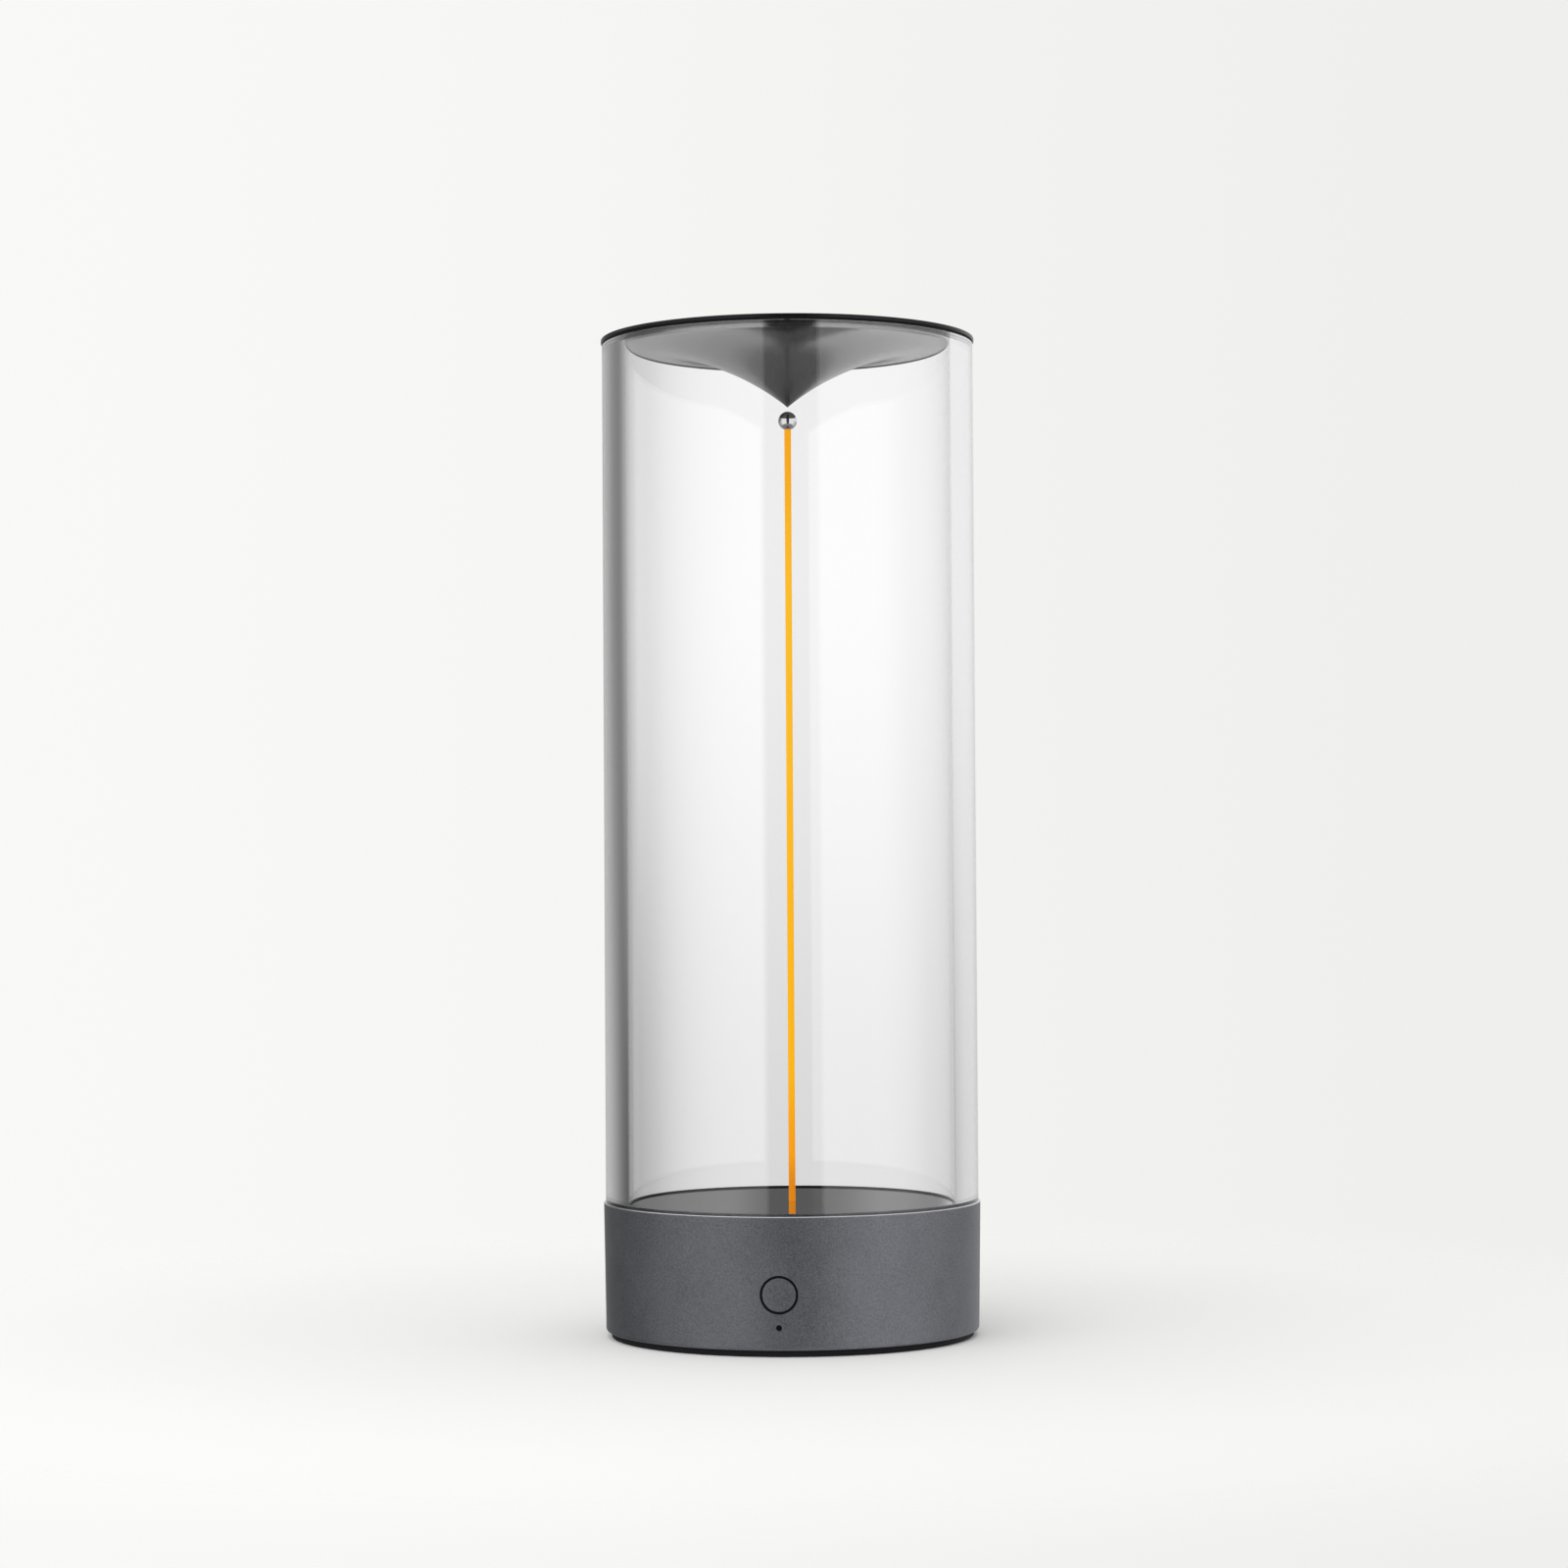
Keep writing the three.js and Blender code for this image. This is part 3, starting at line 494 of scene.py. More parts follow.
@dataclass
class EffectShop:
    """Builds each shared effect once.

    Args:
        broad_share: The share of the broad patches in an effect.
        broad_detail: Their octaves of detail.
        noise_roughness: How strong the finer octaves are.
        noise_reach: The noise's values that become 0 and 1.
        scratch_turns: The turns of the two sets of scratches.
        scratch_stretch: How a set of scratches is scaled, which makes it long.
    """

    broad_share: float = 0.2
    broad_detail: float = 2.0
    noise_roughness: float = 0.6
    noise_reach: tuple[float, float] = (0.28, 0.72)
    scratch_turns: tuple[float, float] = (0.6, -0.9)
    scratch_stretch: tuple[float, float, float] = (1.0, 0.04, 1.0)

    def __post_init__(self) -> None:
        """Starts with no effect built."""
        self.built: dict[Effect, bpy.types.NodeTree] = {}

    def get(self, effect: Effect) -> bpy.types.NodeTree:
        """Finds or builds an effect's node group.

        Args:
            effect: The effect.

        Returns:
            Its group.
        """
        if effect not in self.built:
            self.built[effect] = self.group(effect)
        return self.built[effect]

    def group(self, effect: Effect) -> bpy.types.NodeTree:
        """Builds a group that varies a colour and a roughness by the effect's marks.

        Args:
            effect: The effect.

        Returns:
            The group, with Color, Roughness and Height outputs.
        """
        label, detail, broad_scale = effect.value
        tree = bpy.data.node_groups.new(label, "ShaderNodeTree")
        for way, colours, values in (
            ("INPUT", ["Color"], ["Size", "Roughness", "Color Change", "Roughness Change"]),
            ("OUTPUT", ["Color"], ["Roughness", "Height"]),
        ):
            for name in colours + values:
                kind = "NodeSocketColor" if name in colours else "NodeSocketFloat"
                tree.interface.new_socket(name, in_out=way, socket_type=kind)
        wiring = Wiring(tree)
        calc = wiring.calc
        given = wiring.add("NodeGroupInput").outputs
        place = wiring.place()
        scale = calc("DIVIDE", 1.0, given["Size"])
        layers = [self.noise(wiring, run, scale, detail) for run in self.runs(wiring, effect, place)]
        fine = layers[0] if len(layers) == 1 else calc("MULTIPLY", *layers)
        broad = self.noise(wiring, place, calc("DIVIDE", broad_scale, given["Size"]), self.broad_detail)
        both = calc("MULTIPLY_ADD", broad, self.broad_share, calc("MULTIPLY", fine, 1 - self.broad_share))
        swing = calc("SUBTRACT", both, 0.5)
        light = calc("MULTIPLY_ADD", swing, calc("MULTIPLY", given["Color Change"], 2.0), 1.0)
        change = calc("MULTIPLY", given["Roughness Change"], 2.0)
        rough = calc("MULTIPLY_ADD", swing, change, given["Roughness"])
        colour = wiring.add("ShaderNodeVectorMath", {0: given["Color"], "Scale": light}, operation="SCALE")
        wiring.add("NodeGroupOutput", {"Color": colour.outputs[0], "Roughness": rough, "Height": fine})
        return tree

    def noise(self, wiring: Wiring, place: Any, scale: Any, detail: float) -> bpy.types.NodeSocket:
        """Adds a noise texture.

        Args:
            wiring: The tree's wiring.
            place: The coordinates.
            scale: The scale, in cells a metre.
            detail: The octaves of detail.

        Returns:
            The noise, 0 to 1.
        """
        inputs = {"Vector": place, "Scale": scale, "Detail": detail, "Roughness": self.noise_roughness}
        noise = wiring.add("ShaderNodeTexNoise", inputs).outputs[0]
        return wiring.ramp(noise, *self.noise_reach, 0.0, 1.0)

    def runs(self, wiring: Wiring, effect: Effect, place: Any) -> list[Any]:
        """Adds the coordinates that an effect's marks run in.

        Args:
            wiring: The tree's wiring.
            effect: The effect.
            place: The plain coordinates, which grain takes as they are.

        Returns:
            The coordinates of each layer of marks: circles about Z as a lathe leaves, two directions of
            scratches, or plain ones.
        """
        if effect is Effect.TURNED:
            x, y, z = wiring.split(place)
            squares = wiring.calc("MULTIPLY_ADD", x, x, wiring.calc("MULTIPLY", y, y))
            return [wiring.add("ShaderNodeCombineXYZ", {0: wiring.calc("SQRT", squares), 1: z}).outputs[0]]
        if effect is Effect.BRUSHED:
            sets = (
                {"Vector": place, "Rotation": (turn, turn / 2, turn), "Scale": self.scratch_stretch}
                for turn in self.scratch_turns
            )
            return [wiring.add("ShaderNodeMapping", inputs).outputs[0] for inputs in sets]
        return [place]


@dataclass(frozen=True)
class Finish:
    """A plain finish: one colour with a fine effect over it.

    Args:
        slot: The record's material slot.
        color: Its linear colour.
        roughness: Its mean roughness.
        effect: The effect over it.
        size: The size of the effect's marks.
        depth: The depth of the effect's relief.
        color_change: How far the colour goes up and down, as a share.
        roughness_change: How far the roughness goes up and down.
        coat: The weight of a clear gloss over it.
        ior: The refractive index of what is not metal.
        specular: The level of its reflections, where 0.5 is what the index gives.
        metallic: 1 for bare or anodised metal.
    """

    slot: str
    color: Colour
    roughness: float
    effect: Effect = Effect.GRAIN
    size: float = 0.4 * MM
    depth: float = 0.01 * MM
    color_change: float = 0.06
    roughness_change: float = 0.05
    coat: float = 0.0
    ior: float = 1.5
    specular: float = 0.5
    metallic: float = 0.0

    def material(self, effects: EffectShop) -> bpy.types.Material:
        """Builds the material.

        Args:
            effects: Where the shared effects come from.

        Returns:
            The material.
        """
        made = bpy.data.materials.new(self.slot)
        wiring = Wiring.on(made)
        values = {
            "Color": (*self.color, 1.0), "Size": self.size, "Roughness": self.roughness,
            "Color Change": self.color_change, "Roughness Change": self.roughness_change,
        }
        marks = wiring.add("ShaderNodeGroup", values, node_tree=effects.get(self.effect)).outputs
        relief = {"Height": marks["Height"], "Strength": 1.0, "Distance": self.depth}
        inputs = {
            "Base Color": marks["Color"],
            "Roughness": marks["Roughness"],
            "Normal": wiring.add("ShaderNodeBump", relief).outputs[0],
            "Metallic": self.metallic,
            "IOR": self.ior,
            "Specular IOR Level": self.specular,
            "Coat Weight": self.coat,
            **self.extras(wiring, marks["Color"]),
        }
        shader = wiring.add("ShaderNodeBsdfPrincipled", inputs).outputs[0]
        wiring.add("ShaderNodeOutputMaterial", {"Surface": self.surface(wiring, shader)})
        return made

    def extras(self, wiring: Wiring, color: Any) -> dict[str, Any]:
        """Gives the shader's inputs that only one kind of finish has."""
        return {}

    def surface(self, wiring: Wiring, shader: Any) -> Any:
        """Gives the socket that goes to the material's surface."""
        return shader


@dataclass(frozen=True)
class MetalFinish(Finish):
    """Bare or anodised metal."""

    metallic: float = 1.0


@dataclass(frozen=True)
class ClearFinish(Finish):
    """Clear acrylic, which lets the lamps' light through to what stands inside it.

    Args:
        shadow: The colour of the light that passes.
    """

    shadow: Colour = (0.94, 0.95, 0.95)

    def extras(self, wiring: Wiring, color: Any) -> dict[str, Any]:
        """Makes the body clear."""
        return {"Transmission Weight": 1.0}

    def surface(self, wiring: Wiring, shader: Any) -> Any:
        """Lets shadow rays pass."""
        through = wiring.add("ShaderNodeBsdfTransparent", {0: (*self.shadow, 1.0)}).outputs[0]
        return wiring.mix(wiring.path()["Is Shadow Ray"], shader, through)


@dataclass(frozen=True)
class GlowingFinish(Finish):
    """Amber silicone, lit from within along its whole length.

    Args:
        glow: The colours of the glow, each with its height.
        unevenness: How far the glow follows the marks of the silicone.
        mirrored_up_to: The height up to which other pieces mirror it.
        mirrored_shade: What they mirror above that height, as dark as the room behind it.
    """

    glow: tuple[tuple[float, Colour], ...] = ()
    unevenness: float = 0.05
    mirrored_up_to: float = 42 * MM
    mirrored_shade: float = 0.15

    def extras(self, wiring: Wiring, color: Any) -> dict[str, Any]:
        """Adds the glow, a little uneven as the diodes behind it are.

        Args:
            wiring: The material's wiring.
            color: The silicone's own colour with its marks.

        Returns:
            The shader's inputs for it.
        """
        height = wiring.split(wiring.place())[2]
        colour: Any = self.glow[0][1]
        for (low, _), (high, tint) in zip(self.glow, self.glow[1:]):
            colour = wiring.blend(wiring.ramp(height, low, high, 0.0, 1.0), colour, tint)
        return {"Emission Color": wiring.blend(self.unevenness, colour, color), "Emission Strength": 1.0}

    def surface(self, wiring: Wiring, shader: Any) -> Any:
        """Keeps the upper strip out of the lid's mirror image, while the deck mirrors its foot.

        Args:
            wiring: The material's wiring.
            shader: The strip's own shader.

        Returns:
            The mix of both.
        """
        above = wiring.calc("GREATER_THAN", wiring.split(wiring.place())[2], self.mirrored_up_to)
        hidden = wiring.calc("MULTIPLY", wiring.mirrored(wiring.path()), above)
        shade = wiring.add("ShaderNodeEmission", {0: (*[self.mirrored_shade] * 3, 1.0)}).outputs[0]
        return wiring.mix(hidden, shader, shade)


STRIP = Extent.of("filament_jacket")
FINISHES: dict[str, Finish] = {
    "anodised_shell": MetalFinish(
        "anodised_shell", (0.2, 0.204, 0.222), 0.5, size=0.45 * MM, depth=0.009 * MM, color_change=0.27,
        roughness_change=0.06,
    ),
    "bright_cut": MetalFinish(
        "anodised_shell", (0.75, 0.75, 0.77), 0.28, Effect.TURNED, size=0.06 * MM, depth=0.002 * MM,
        color_change=0.05, roughness_change=0.06,
    ),
    "anodised_lid": MetalFinish(
        "anodised_lid", (0.3, 0.3, 0.306), 0.15, size=0.2 * MM, depth=0.0, color_change=0.02,
        roughness_change=0.01,
    ),
    # A much darker copy of the lid's anodised metal. On the plate it is partly the lid's own dark colour and
    # partly painted shade; on the lip under the underside's rim it is painted shade.
    "shaded_lid": MetalFinish(
        "anodised_lid", (0.03, 0.03, 0.033), 0.3, size=0.22 * MM, depth=0.003 * MM, color_change=0.1,
        roughness_change=0.05,
    ),
    "clear_acrylic": ClearFinish(
        "clear_acrylic", (1.0, 1.0, 1.0), 0.0, Effect.BRUSHED, size=0.5 * MM, depth=0.0, color_change=0.004,
        roughness_change=0.0, ior=1.49,
    ),
    "deck_gloss": MetalFinish(
        "deck_gloss", (0.049, 0.051, 0.06), 0.14, size=0.25 * MM, depth=0.0004 * MM, color_change=0.08,
        roughness_change=0.02, coat=1.0,
    ),
    "foot_rubber": Finish(
        "foot_rubber", (0.009, 0.009, 0.011), 0.72, size=0.3 * MM, depth=0.02 * MM, color_change=0.2,
        roughness_change=0.1, specular=0.2,
    ),
    "black_plastic": Finish(
        "black_plastic", (0.012, 0.012, 0.014), 0.45, size=0.25 * MM, depth=0.012 * MM, color_change=0.15,
        roughness_change=0.08,
    ),
    "ring_black": Finish(
        "black_plastic", (0.004, 0.004, 0.005), 0.5, size=0.2 * MM, depth=0.004 * MM, color_change=0.15,
        roughness_change=0.08, specular=0.1,
    ),
    "amber_silicone": GlowingFinish(
        "amber_silicone", (0.3, 0.1, 0.004), 0.5, size=0.6 * MM, depth=0.004 * MM, color_change=0.1,
        specular=0.05,
        glow=(
            (STRIP.bottom + 8 * MM, (0.68, 0.21, 0.0)), (STRIP.bottom + 19 * MM, (0.9, 0.33, 0.0)),
            (STRIP.bottom + 42 * MM, (0.91, 0.46, 0.0)), (STRIP.bottom + 165 * MM, (0.905, 0.505, 0.016)),
            (STRIP.top, (0.88, 0.38, 0.005)),
        ),
    ),
    "ball_steel": MetalFinish(
        "ball_steel", (0.82, 0.82, 0.83), 0.04, Effect.BRUSHED, size=0.3 * MM, depth=0.0003 * MM,
        color_change=0.02, roughness_change=0.02,
    ),
    "screw_steel": MetalFinish(
        "screw_steel", (0.42, 0.42, 0.44), 0.32, Effect.TURNED, size=0.15 * MM, depth=0.004 * MM,
        color_change=0.1, roughness_change=0.08,
    ),
    "magnet_nickel": MetalFinish(
        "magnet_nickel", (0.6, 0.59, 0.56), 0.2, Effect.BRUSHED, depth=0.002 * MM, color_change=0.05,
    ),
    "contact_metal": MetalFinish(
        "contact_metal", (0.58, 0.57, 0.54), 0.26, Effect.BRUSHED, size=0.3 * MM, depth=0.002 * MM,
        roughness_change=0.06,
    ),
    "ferrule_brass": MetalFinish(
        "ferrule_brass", (0.62, 0.42, 0.16), 0.3, Effect.TURNED, size=0.1 * MM, depth=0.003 * MM,
        color_change=0.08, roughness_change=0.06,
    ),
    "board": Finish("board", (0.012, 0.07, 0.035), 0.35, size=0.8 * MM, color_change=0.18, coat=0.3),
    "cell_can": Finish("cell_can", (0.03, 0.14, 0.32), 0.3, size=1.2 * MM, depth=0.004 * MM, coat=0.4),
    "connector_ivory": Finish("connector_ivory", (0.75, 0.7, 0.55), 0.45, color_change=0.04),
    "wire_red": Finish("wire_red", (0.42, 0.02, 0.015), 0.45, size=0.3 * MM),
    "wire_black": Finish("wire_black", (0.014, 0.014, 0.015), 0.45, size=0.3 * MM, color_change=0.15),
    "wire_grey": Finish("wire_grey", (0.25, 0.26, 0.27), 0.45, size=0.3 * MM),
    "light_pipe": Finish(
        "light_pipe", (0.003, 0.003, 0.004), 0.2, size=0.2 * MM, depth=0.001 * MM, specular=0.2
    ),
    "led_white": Finish("led_white", (0.85, 0.82, 0.7), 0.4, size=0.3 * MM, color_change=0.03),
}


class Dresser:
    """Gives pieces their finishes and lets them ride on their bodies."""

    def __init__(self) -> None:
        """Starts with no material built."""
        self.effects = EffectShop()
        self.materials: dict[str, bpy.types.Material] = {}
        bodies = frame["record"]["behaviour"]["bodies"]
        self.bodies = {node: body for body, nodes in bodies.items() for node in nodes}

    def material(self, finish: str) -> bpy.types.Material:
        """Finds or builds a material.

        Args:
            finish: The finish's name.

        Returns:
            The material.
        """
        if finish not in self.materials:
            self.materials[finish] = FINISHES[finish].material(self.effects)
        return self.materials[finish]

    def dress(self, piece: bpy.types.Object, finish: str) -> None:
        """Gives a piece its material, and shades it smooth between its sharp edges.

        Args:
            piece: The piece.
            finish: The finish's name.
        """
        piece.data.materials.clear()
        piece.data.materials.append(self.material(finish))
        piece.data.shade_smooth()
        piece.data.set_sharp_from_angle(angle=SHARP)

    def add(self, piece: bpy.types.Object, finish: str, body: str) -> None:
        """Dresses a made piece and lets it ride on a body.

        Args:
            piece: The piece.
            finish: The finish's name.
            body: The body's name.
        """
        self.dress(piece, finish)
        weigh = piece.modifiers.new("flat faces stay flat", "WEIGHTED_NORMAL")
        weigh.weight = 100
        weigh.keep_sharp = True
        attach(piece, body)
        log.info("%s rides on %s, in %s", piece.name, body, finish)

    def place(self, piece: bpy.types.Object, finish: str, *nodes: str) -> None:
        """Dresses a made piece and puts it in the place of the nodes that it stands for.

        Args:
            piece: The piece.
            finish: The finish's name.
            nodes: The nodes that it replaces, the first of which gives its body.
        """
        self.add(piece, finish, self.bodies[nodes[0]])
        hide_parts(*nodes)
        log.info("%s stands for %s", piece.name, ", ".join(nodes))

    def keep(self, finish: str, *nodes: str) -> None:
        """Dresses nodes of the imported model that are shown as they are.

        Args:
            finish: The finish's name.
            nodes: The nodes' names.
        """
        for name in nodes:
            node = frame["nodes"][name]
            self.dress(node, finish)
        log.info("%d nodes kept in %s", len(nodes), finish)


# The lamp's sub-assemblies


@dataclass
class BaseShell:
    """The metal base, with pillars for the cover's screws and holes for what sits in its wall.

    Args:
        dresser: Gives the finishes.
        taper: How much narrower the shell is at its lower edge than at its rim.
        wall: The thickness of its wall.
        lip: The metal of the rim outside the tube.
        ledge: How far the ledge reaches in over the main board.
        edge: The rounding of its inner edges.
        lip_edge: The rounding of the rim's inner edge.
        foot_edge: The rounding of its lower edge.
        rim_cut: The width of the bright cut round its rim.
        corner_steps: The steps of each rounding.
        pillar_radius: The radius of the pillars that take the cover's screws.
        pillar_root: How far they go up into the ledge.
        hole_edge: The softened edge of its holes.
        hole_turn: Where the middle of that edge lies, as a share of it.
        button_hole: The radius of the hole for the button and its ring.
        dot_hole: The radius of the hole for the indicator.
        port_play: The gap round the charging port.
    """

    dresser: Dresser
    taper: float = 0.5 * MM
    wall: float = 2.5 * MM
    lip: float = 0.5 * MM
    ledge: float = 5 * MM
    edge: float = 0.35 * MM
    lip_edge: float = 0.07 * MM
    foot_edge: float = 0.9 * MM
    rim_cut: float = 0.15 * MM
    corner_steps: int = 6
    pillar_radius: float = 3.5 * MM
    pillar_root: float = 1.5 * MM
    hole_edge: float = 0.12 * MM
    hole_turn: float = 0.3
    button_hole: float = 4.92 * MM
    dot_hole: float = 0.75 * MM
    port_play: float = 0.17 * MM

    def __post_init__(self) -> None:
        """Measures the frame."""
        self.shell = Extent.of("base_shell")
        self.seat = Extent.of("tube_gasket").bottom
        self.board = Extent.of("main_board")
        self.cover_top = Extent.of("cell_cradle").bottom

    def face(self, height: float) -> float:
        """The radius of the shell's outer face at a height."""
        share = (self.shell.top - height) / (self.shell.top - self.shell.bottom)
        return self.shell.radius - self.taper * share

    @property
    def bore(self) -> float:
        """The radius of the shell's inner wall."""
        return self.face(self.shell.bottom) - self.wall

    def build(self) -> None:
        """Turns the shell, adds its pillars, cuts its holes and brightens its rim."""
        top, groove = self.shell.top, self.shell.radius - self.lip
        ledge_bore = self.board.radius - self.ledge
        shell = MeshShop.turned("metal_base", self.outline(groove, ledge_bore))
        MeshShop.merged(shell, self.pillars(), Merge.ADD)
        MeshShop.merged(shell, self.holes(), Merge.CUT)
        self.dresser.place(shell, "anodised_shell", "base_shell")
        shell.data.materials.append(self.dresser.material("bright_cut"))
        for polygon in shell.data.polygons:
            across, height = polygon.center.to_2d().length, polygon.center.z
            rim = across > groove and polygon.normal.z > 0.5 and height > top - self.rim_cut
            inner = ledge_bore < across <= groove and height > self.seat
            polygon.material_index = int(rim or inner)

    def outline(self, groove: float, ledge_bore: float) -> Outline:
        """The shell's outline, from its lower inner edge outwards.

        Args:
            groove: The radius of the groove for the tube.
            ledge_bore: The radius inside the ledge.

        Returns:
            The rounded outline.
        """
        low, top = self.shell.bottom, self.shell.top
        mouth = Extent.of("bottom_cover").radius + PLAY
        cut, edge = self.rim_cut, self.edge
        corners = [
            (mouth, low, edge), (self.face(low), low, self.foot_edge), (self.face(top - cut), top - cut, 0.0),
            (self.face(top) - cut, top, 0.0), (groove, top, self.lip_edge), (groove, self.seat, edge),
            (ledge_bore, self.seat, edge), (ledge_bore, self.board.top, edge),
            (self.bore, self.board.top, edge), (self.bore, self.cover_top, edge),
            (mouth, self.cover_top, edge),
        ]
        points, reaches = [corner[:2] for corner in corners], [corner[2] for corner in corners]
        return rounded(points, reaches, self.corner_steps)

    def pillars(self) -> list[bpy.types.Object]:
        """Makes the pillars for the cover's screws, each with a web to the wall.

        Returns:
            The bodies to add to the shell.
        """
        made = []
        radius, low, high = self.pillar_radius, self.cover_top, self.board.top + self.pillar_root
        for name in COVER_SCREWS:
            screw = Extent.of(name).middle
            column = MeshShop.column(screw, radius, low, high)
            reach = self.bore + ROOT - screw.to_2d().length
            web = MeshShop.slab("web", (0, -radius / 2, low), (reach, radius / 2, high))
            turn = Matrix.Rotation(math.atan2(screw.y, screw.x), 4, "Z")
            web.data.transform(Matrix.Translation((screw.x, screw.y, 0)) @ turn)
            made += [column, web]
        return made

    def holes(self) -> list[bpy.types.Object]:
        """Makes what is cut out for the screws, the button, the indicator and the charging port.

        Returns:
            The cutters.
        """
        screws = [Extent.of(name) for name in COVER_SCREWS]
        made = [MeshShop.column(s.middle, COVER_SCREW_HOLE, 0, s.top + SCREW_ROOM) for s in screws]
        button, dot, port = (Extent.of(n) for n in ("button_bezel", "indicator_pipe", "usb_socket"))
        half = (port.top - port.bottom) / 2
        straight = port.radius - half
        made.append(self.hole("button_hole", self.button_hole, button.middle.z))
        made.append(self.hole("dot_hole", self.dot_hole, dot.middle.z))
        made.append(self.hole("port_slot", half + self.port_play, port.middle.z, Side.BACK, straight))
        return made

    def hole(
        self, name: str, spread: float, height: float, side: Side = Side.FRONT, straight: float = 0.0
    ) -> bpy.types.Object:
        """What is cut out of the wall for a fitting, with a softened mouth.

        Args:
            name: The cutter's name.
            spread: Half the hole's height.
            height: The height of its middle.
            side: The side of the base.
            straight: Half the straight length of a slot.

        Returns:
            The cutter.
        """
        edge, turn = self.hole_edge, self.hole_edge * self.hole_turn
        stations = fixed((spread, self.bore - 2 * ROOT))
        stations += [Station(spread, edge), Station(spread + turn, turn), Station(spread + edge, 0)]
        stations += fixed((spread + edge, self.shell.radius + ROOT))
        return MeshShop.pressed(name, stations, self.face, height, side, straight)


@dataclass
class Underside:
    """The black foot ring, the bottom cover and the cover's screws.

    Args:
        dresser: Gives the finishes.
        foot_width: The width of the foot ring.
        foot_edge: The rounding of the foot ring and of the screws' heads.
        cover_edge: The rounding of the cover.
        post_radius: The radius of the posts that carry the charging port's board.
        hole_height: How far the holes for the small screws go above them.
        head: The height of a cover screw's head.
        shank: The radius of its shank.
        drive_depth: The depth of its hexagonal socket.
    """

    dresser: Dresser
    foot_width: float = 5 * MM
    foot_edge: float = 0.3 * MM
    cover_edge: float = 0.25 * MM
    post_radius: float = 2.2 * MM
    hole_height: float = 2 * MM
    head: float = 1.4 * MM
    shank: float = 1.25 * MM
    drive_depth: float = 0.7 * MM

    def build(self) -> None:
        """Builds the ring, the cover and the screws."""
        foot = Extent.of("foot_ring")
        inner = foot.radius - self.foot_width
        outline = rounded(band(inner, foot.radius, foot.bottom, foot.top), self.foot_edge)
        self.dresser.place(MeshShop.turned("foot_pad", outline), "foot_rubber", "foot_ring")
        self.build_cover(inner - PLAY, foot.top)
        for name in COVER_SCREWS:
            self.build_screw(name)

    def build_cover(self, hub: float, step: float) -> None:
        """The plate that closes the base from below, with a sunk hole for each screw.

        Args:
            hub: The radius of its middle, which fills the foot ring.
            step: The height of the step round it.
        """
        cover, top = Extent.of("bottom_cover"), Extent.of("cell_cradle").bottom
        outline = [(0, cover.bottom), (hub, cover.bottom), (hub, step)]
        outline += [(cover.radius, step), (cover.radius, top), (0, top)]
        plate = MeshShop.turned("underside_cover", rounded(outline, self.cover_edge))
        port_screws, board = ("usb_screw_1", "usb_screw_2"), Extent.of("usb_board").bottom
        middles = [Extent.of(name).middle for name in port_screws]
        posts = [MeshShop.column(middle, self.post_radius, top - ROOT, board) for middle in middles]
        MeshShop.merged(plate, posts, Merge.ADD)
        holes = []
        for screw in (Extent.of(name) for name in COVER_SCREWS):
            holes.append(MeshShop.column(screw.middle, COVER_SCREW_HOLE, 0, top + ROOT))
            holes.append(MeshShop.column(screw.middle, screw.radius + PLAY, 0, screw.bottom + self.head))
        for name in (*port_screws, "bracket_screw_1", "bracket_screw_2"):
            screw = Extent.of(name)
            low, high = screw.bottom - SCREW_ROOM, screw.top + self.hole_height
            holes.append(MeshShop.column(screw.middle, SMALL_SCREW_HOLE, low, high))
        MeshShop.merged(plate, holes, Merge.CUT)
        self.dresser.place(plate, "black_plastic", "bottom_cover")

    def build_screw(self, name: str) -> None:
        """A screw with a rounded head and a hexagonal socket.

        Args:
            name: The node that it stands for.
        """
        box, shank = Extent.of(name), self.shank
        low, seat, radius = box.bottom, box.bottom + self.head, box.radius
        outline = [(0, low), (radius, low), (radius, seat), (shank, seat), (shank, box.top), (0, box.top)]
        screw = MeshShop.turned(f"hex_{name}", rounded(outline, self.foot_edge), SMALL)
        socket = band(0, radius / 2, low - ROOT, low + self.drive_depth)
        MeshShop.merged(screw, [MeshShop.turned("drive", socket, 6)], Merge.CUT)
        screw.location = (box.middle.x, box.middle.y, 0)
        self.dresser.place(screw, "screw_steel", name)


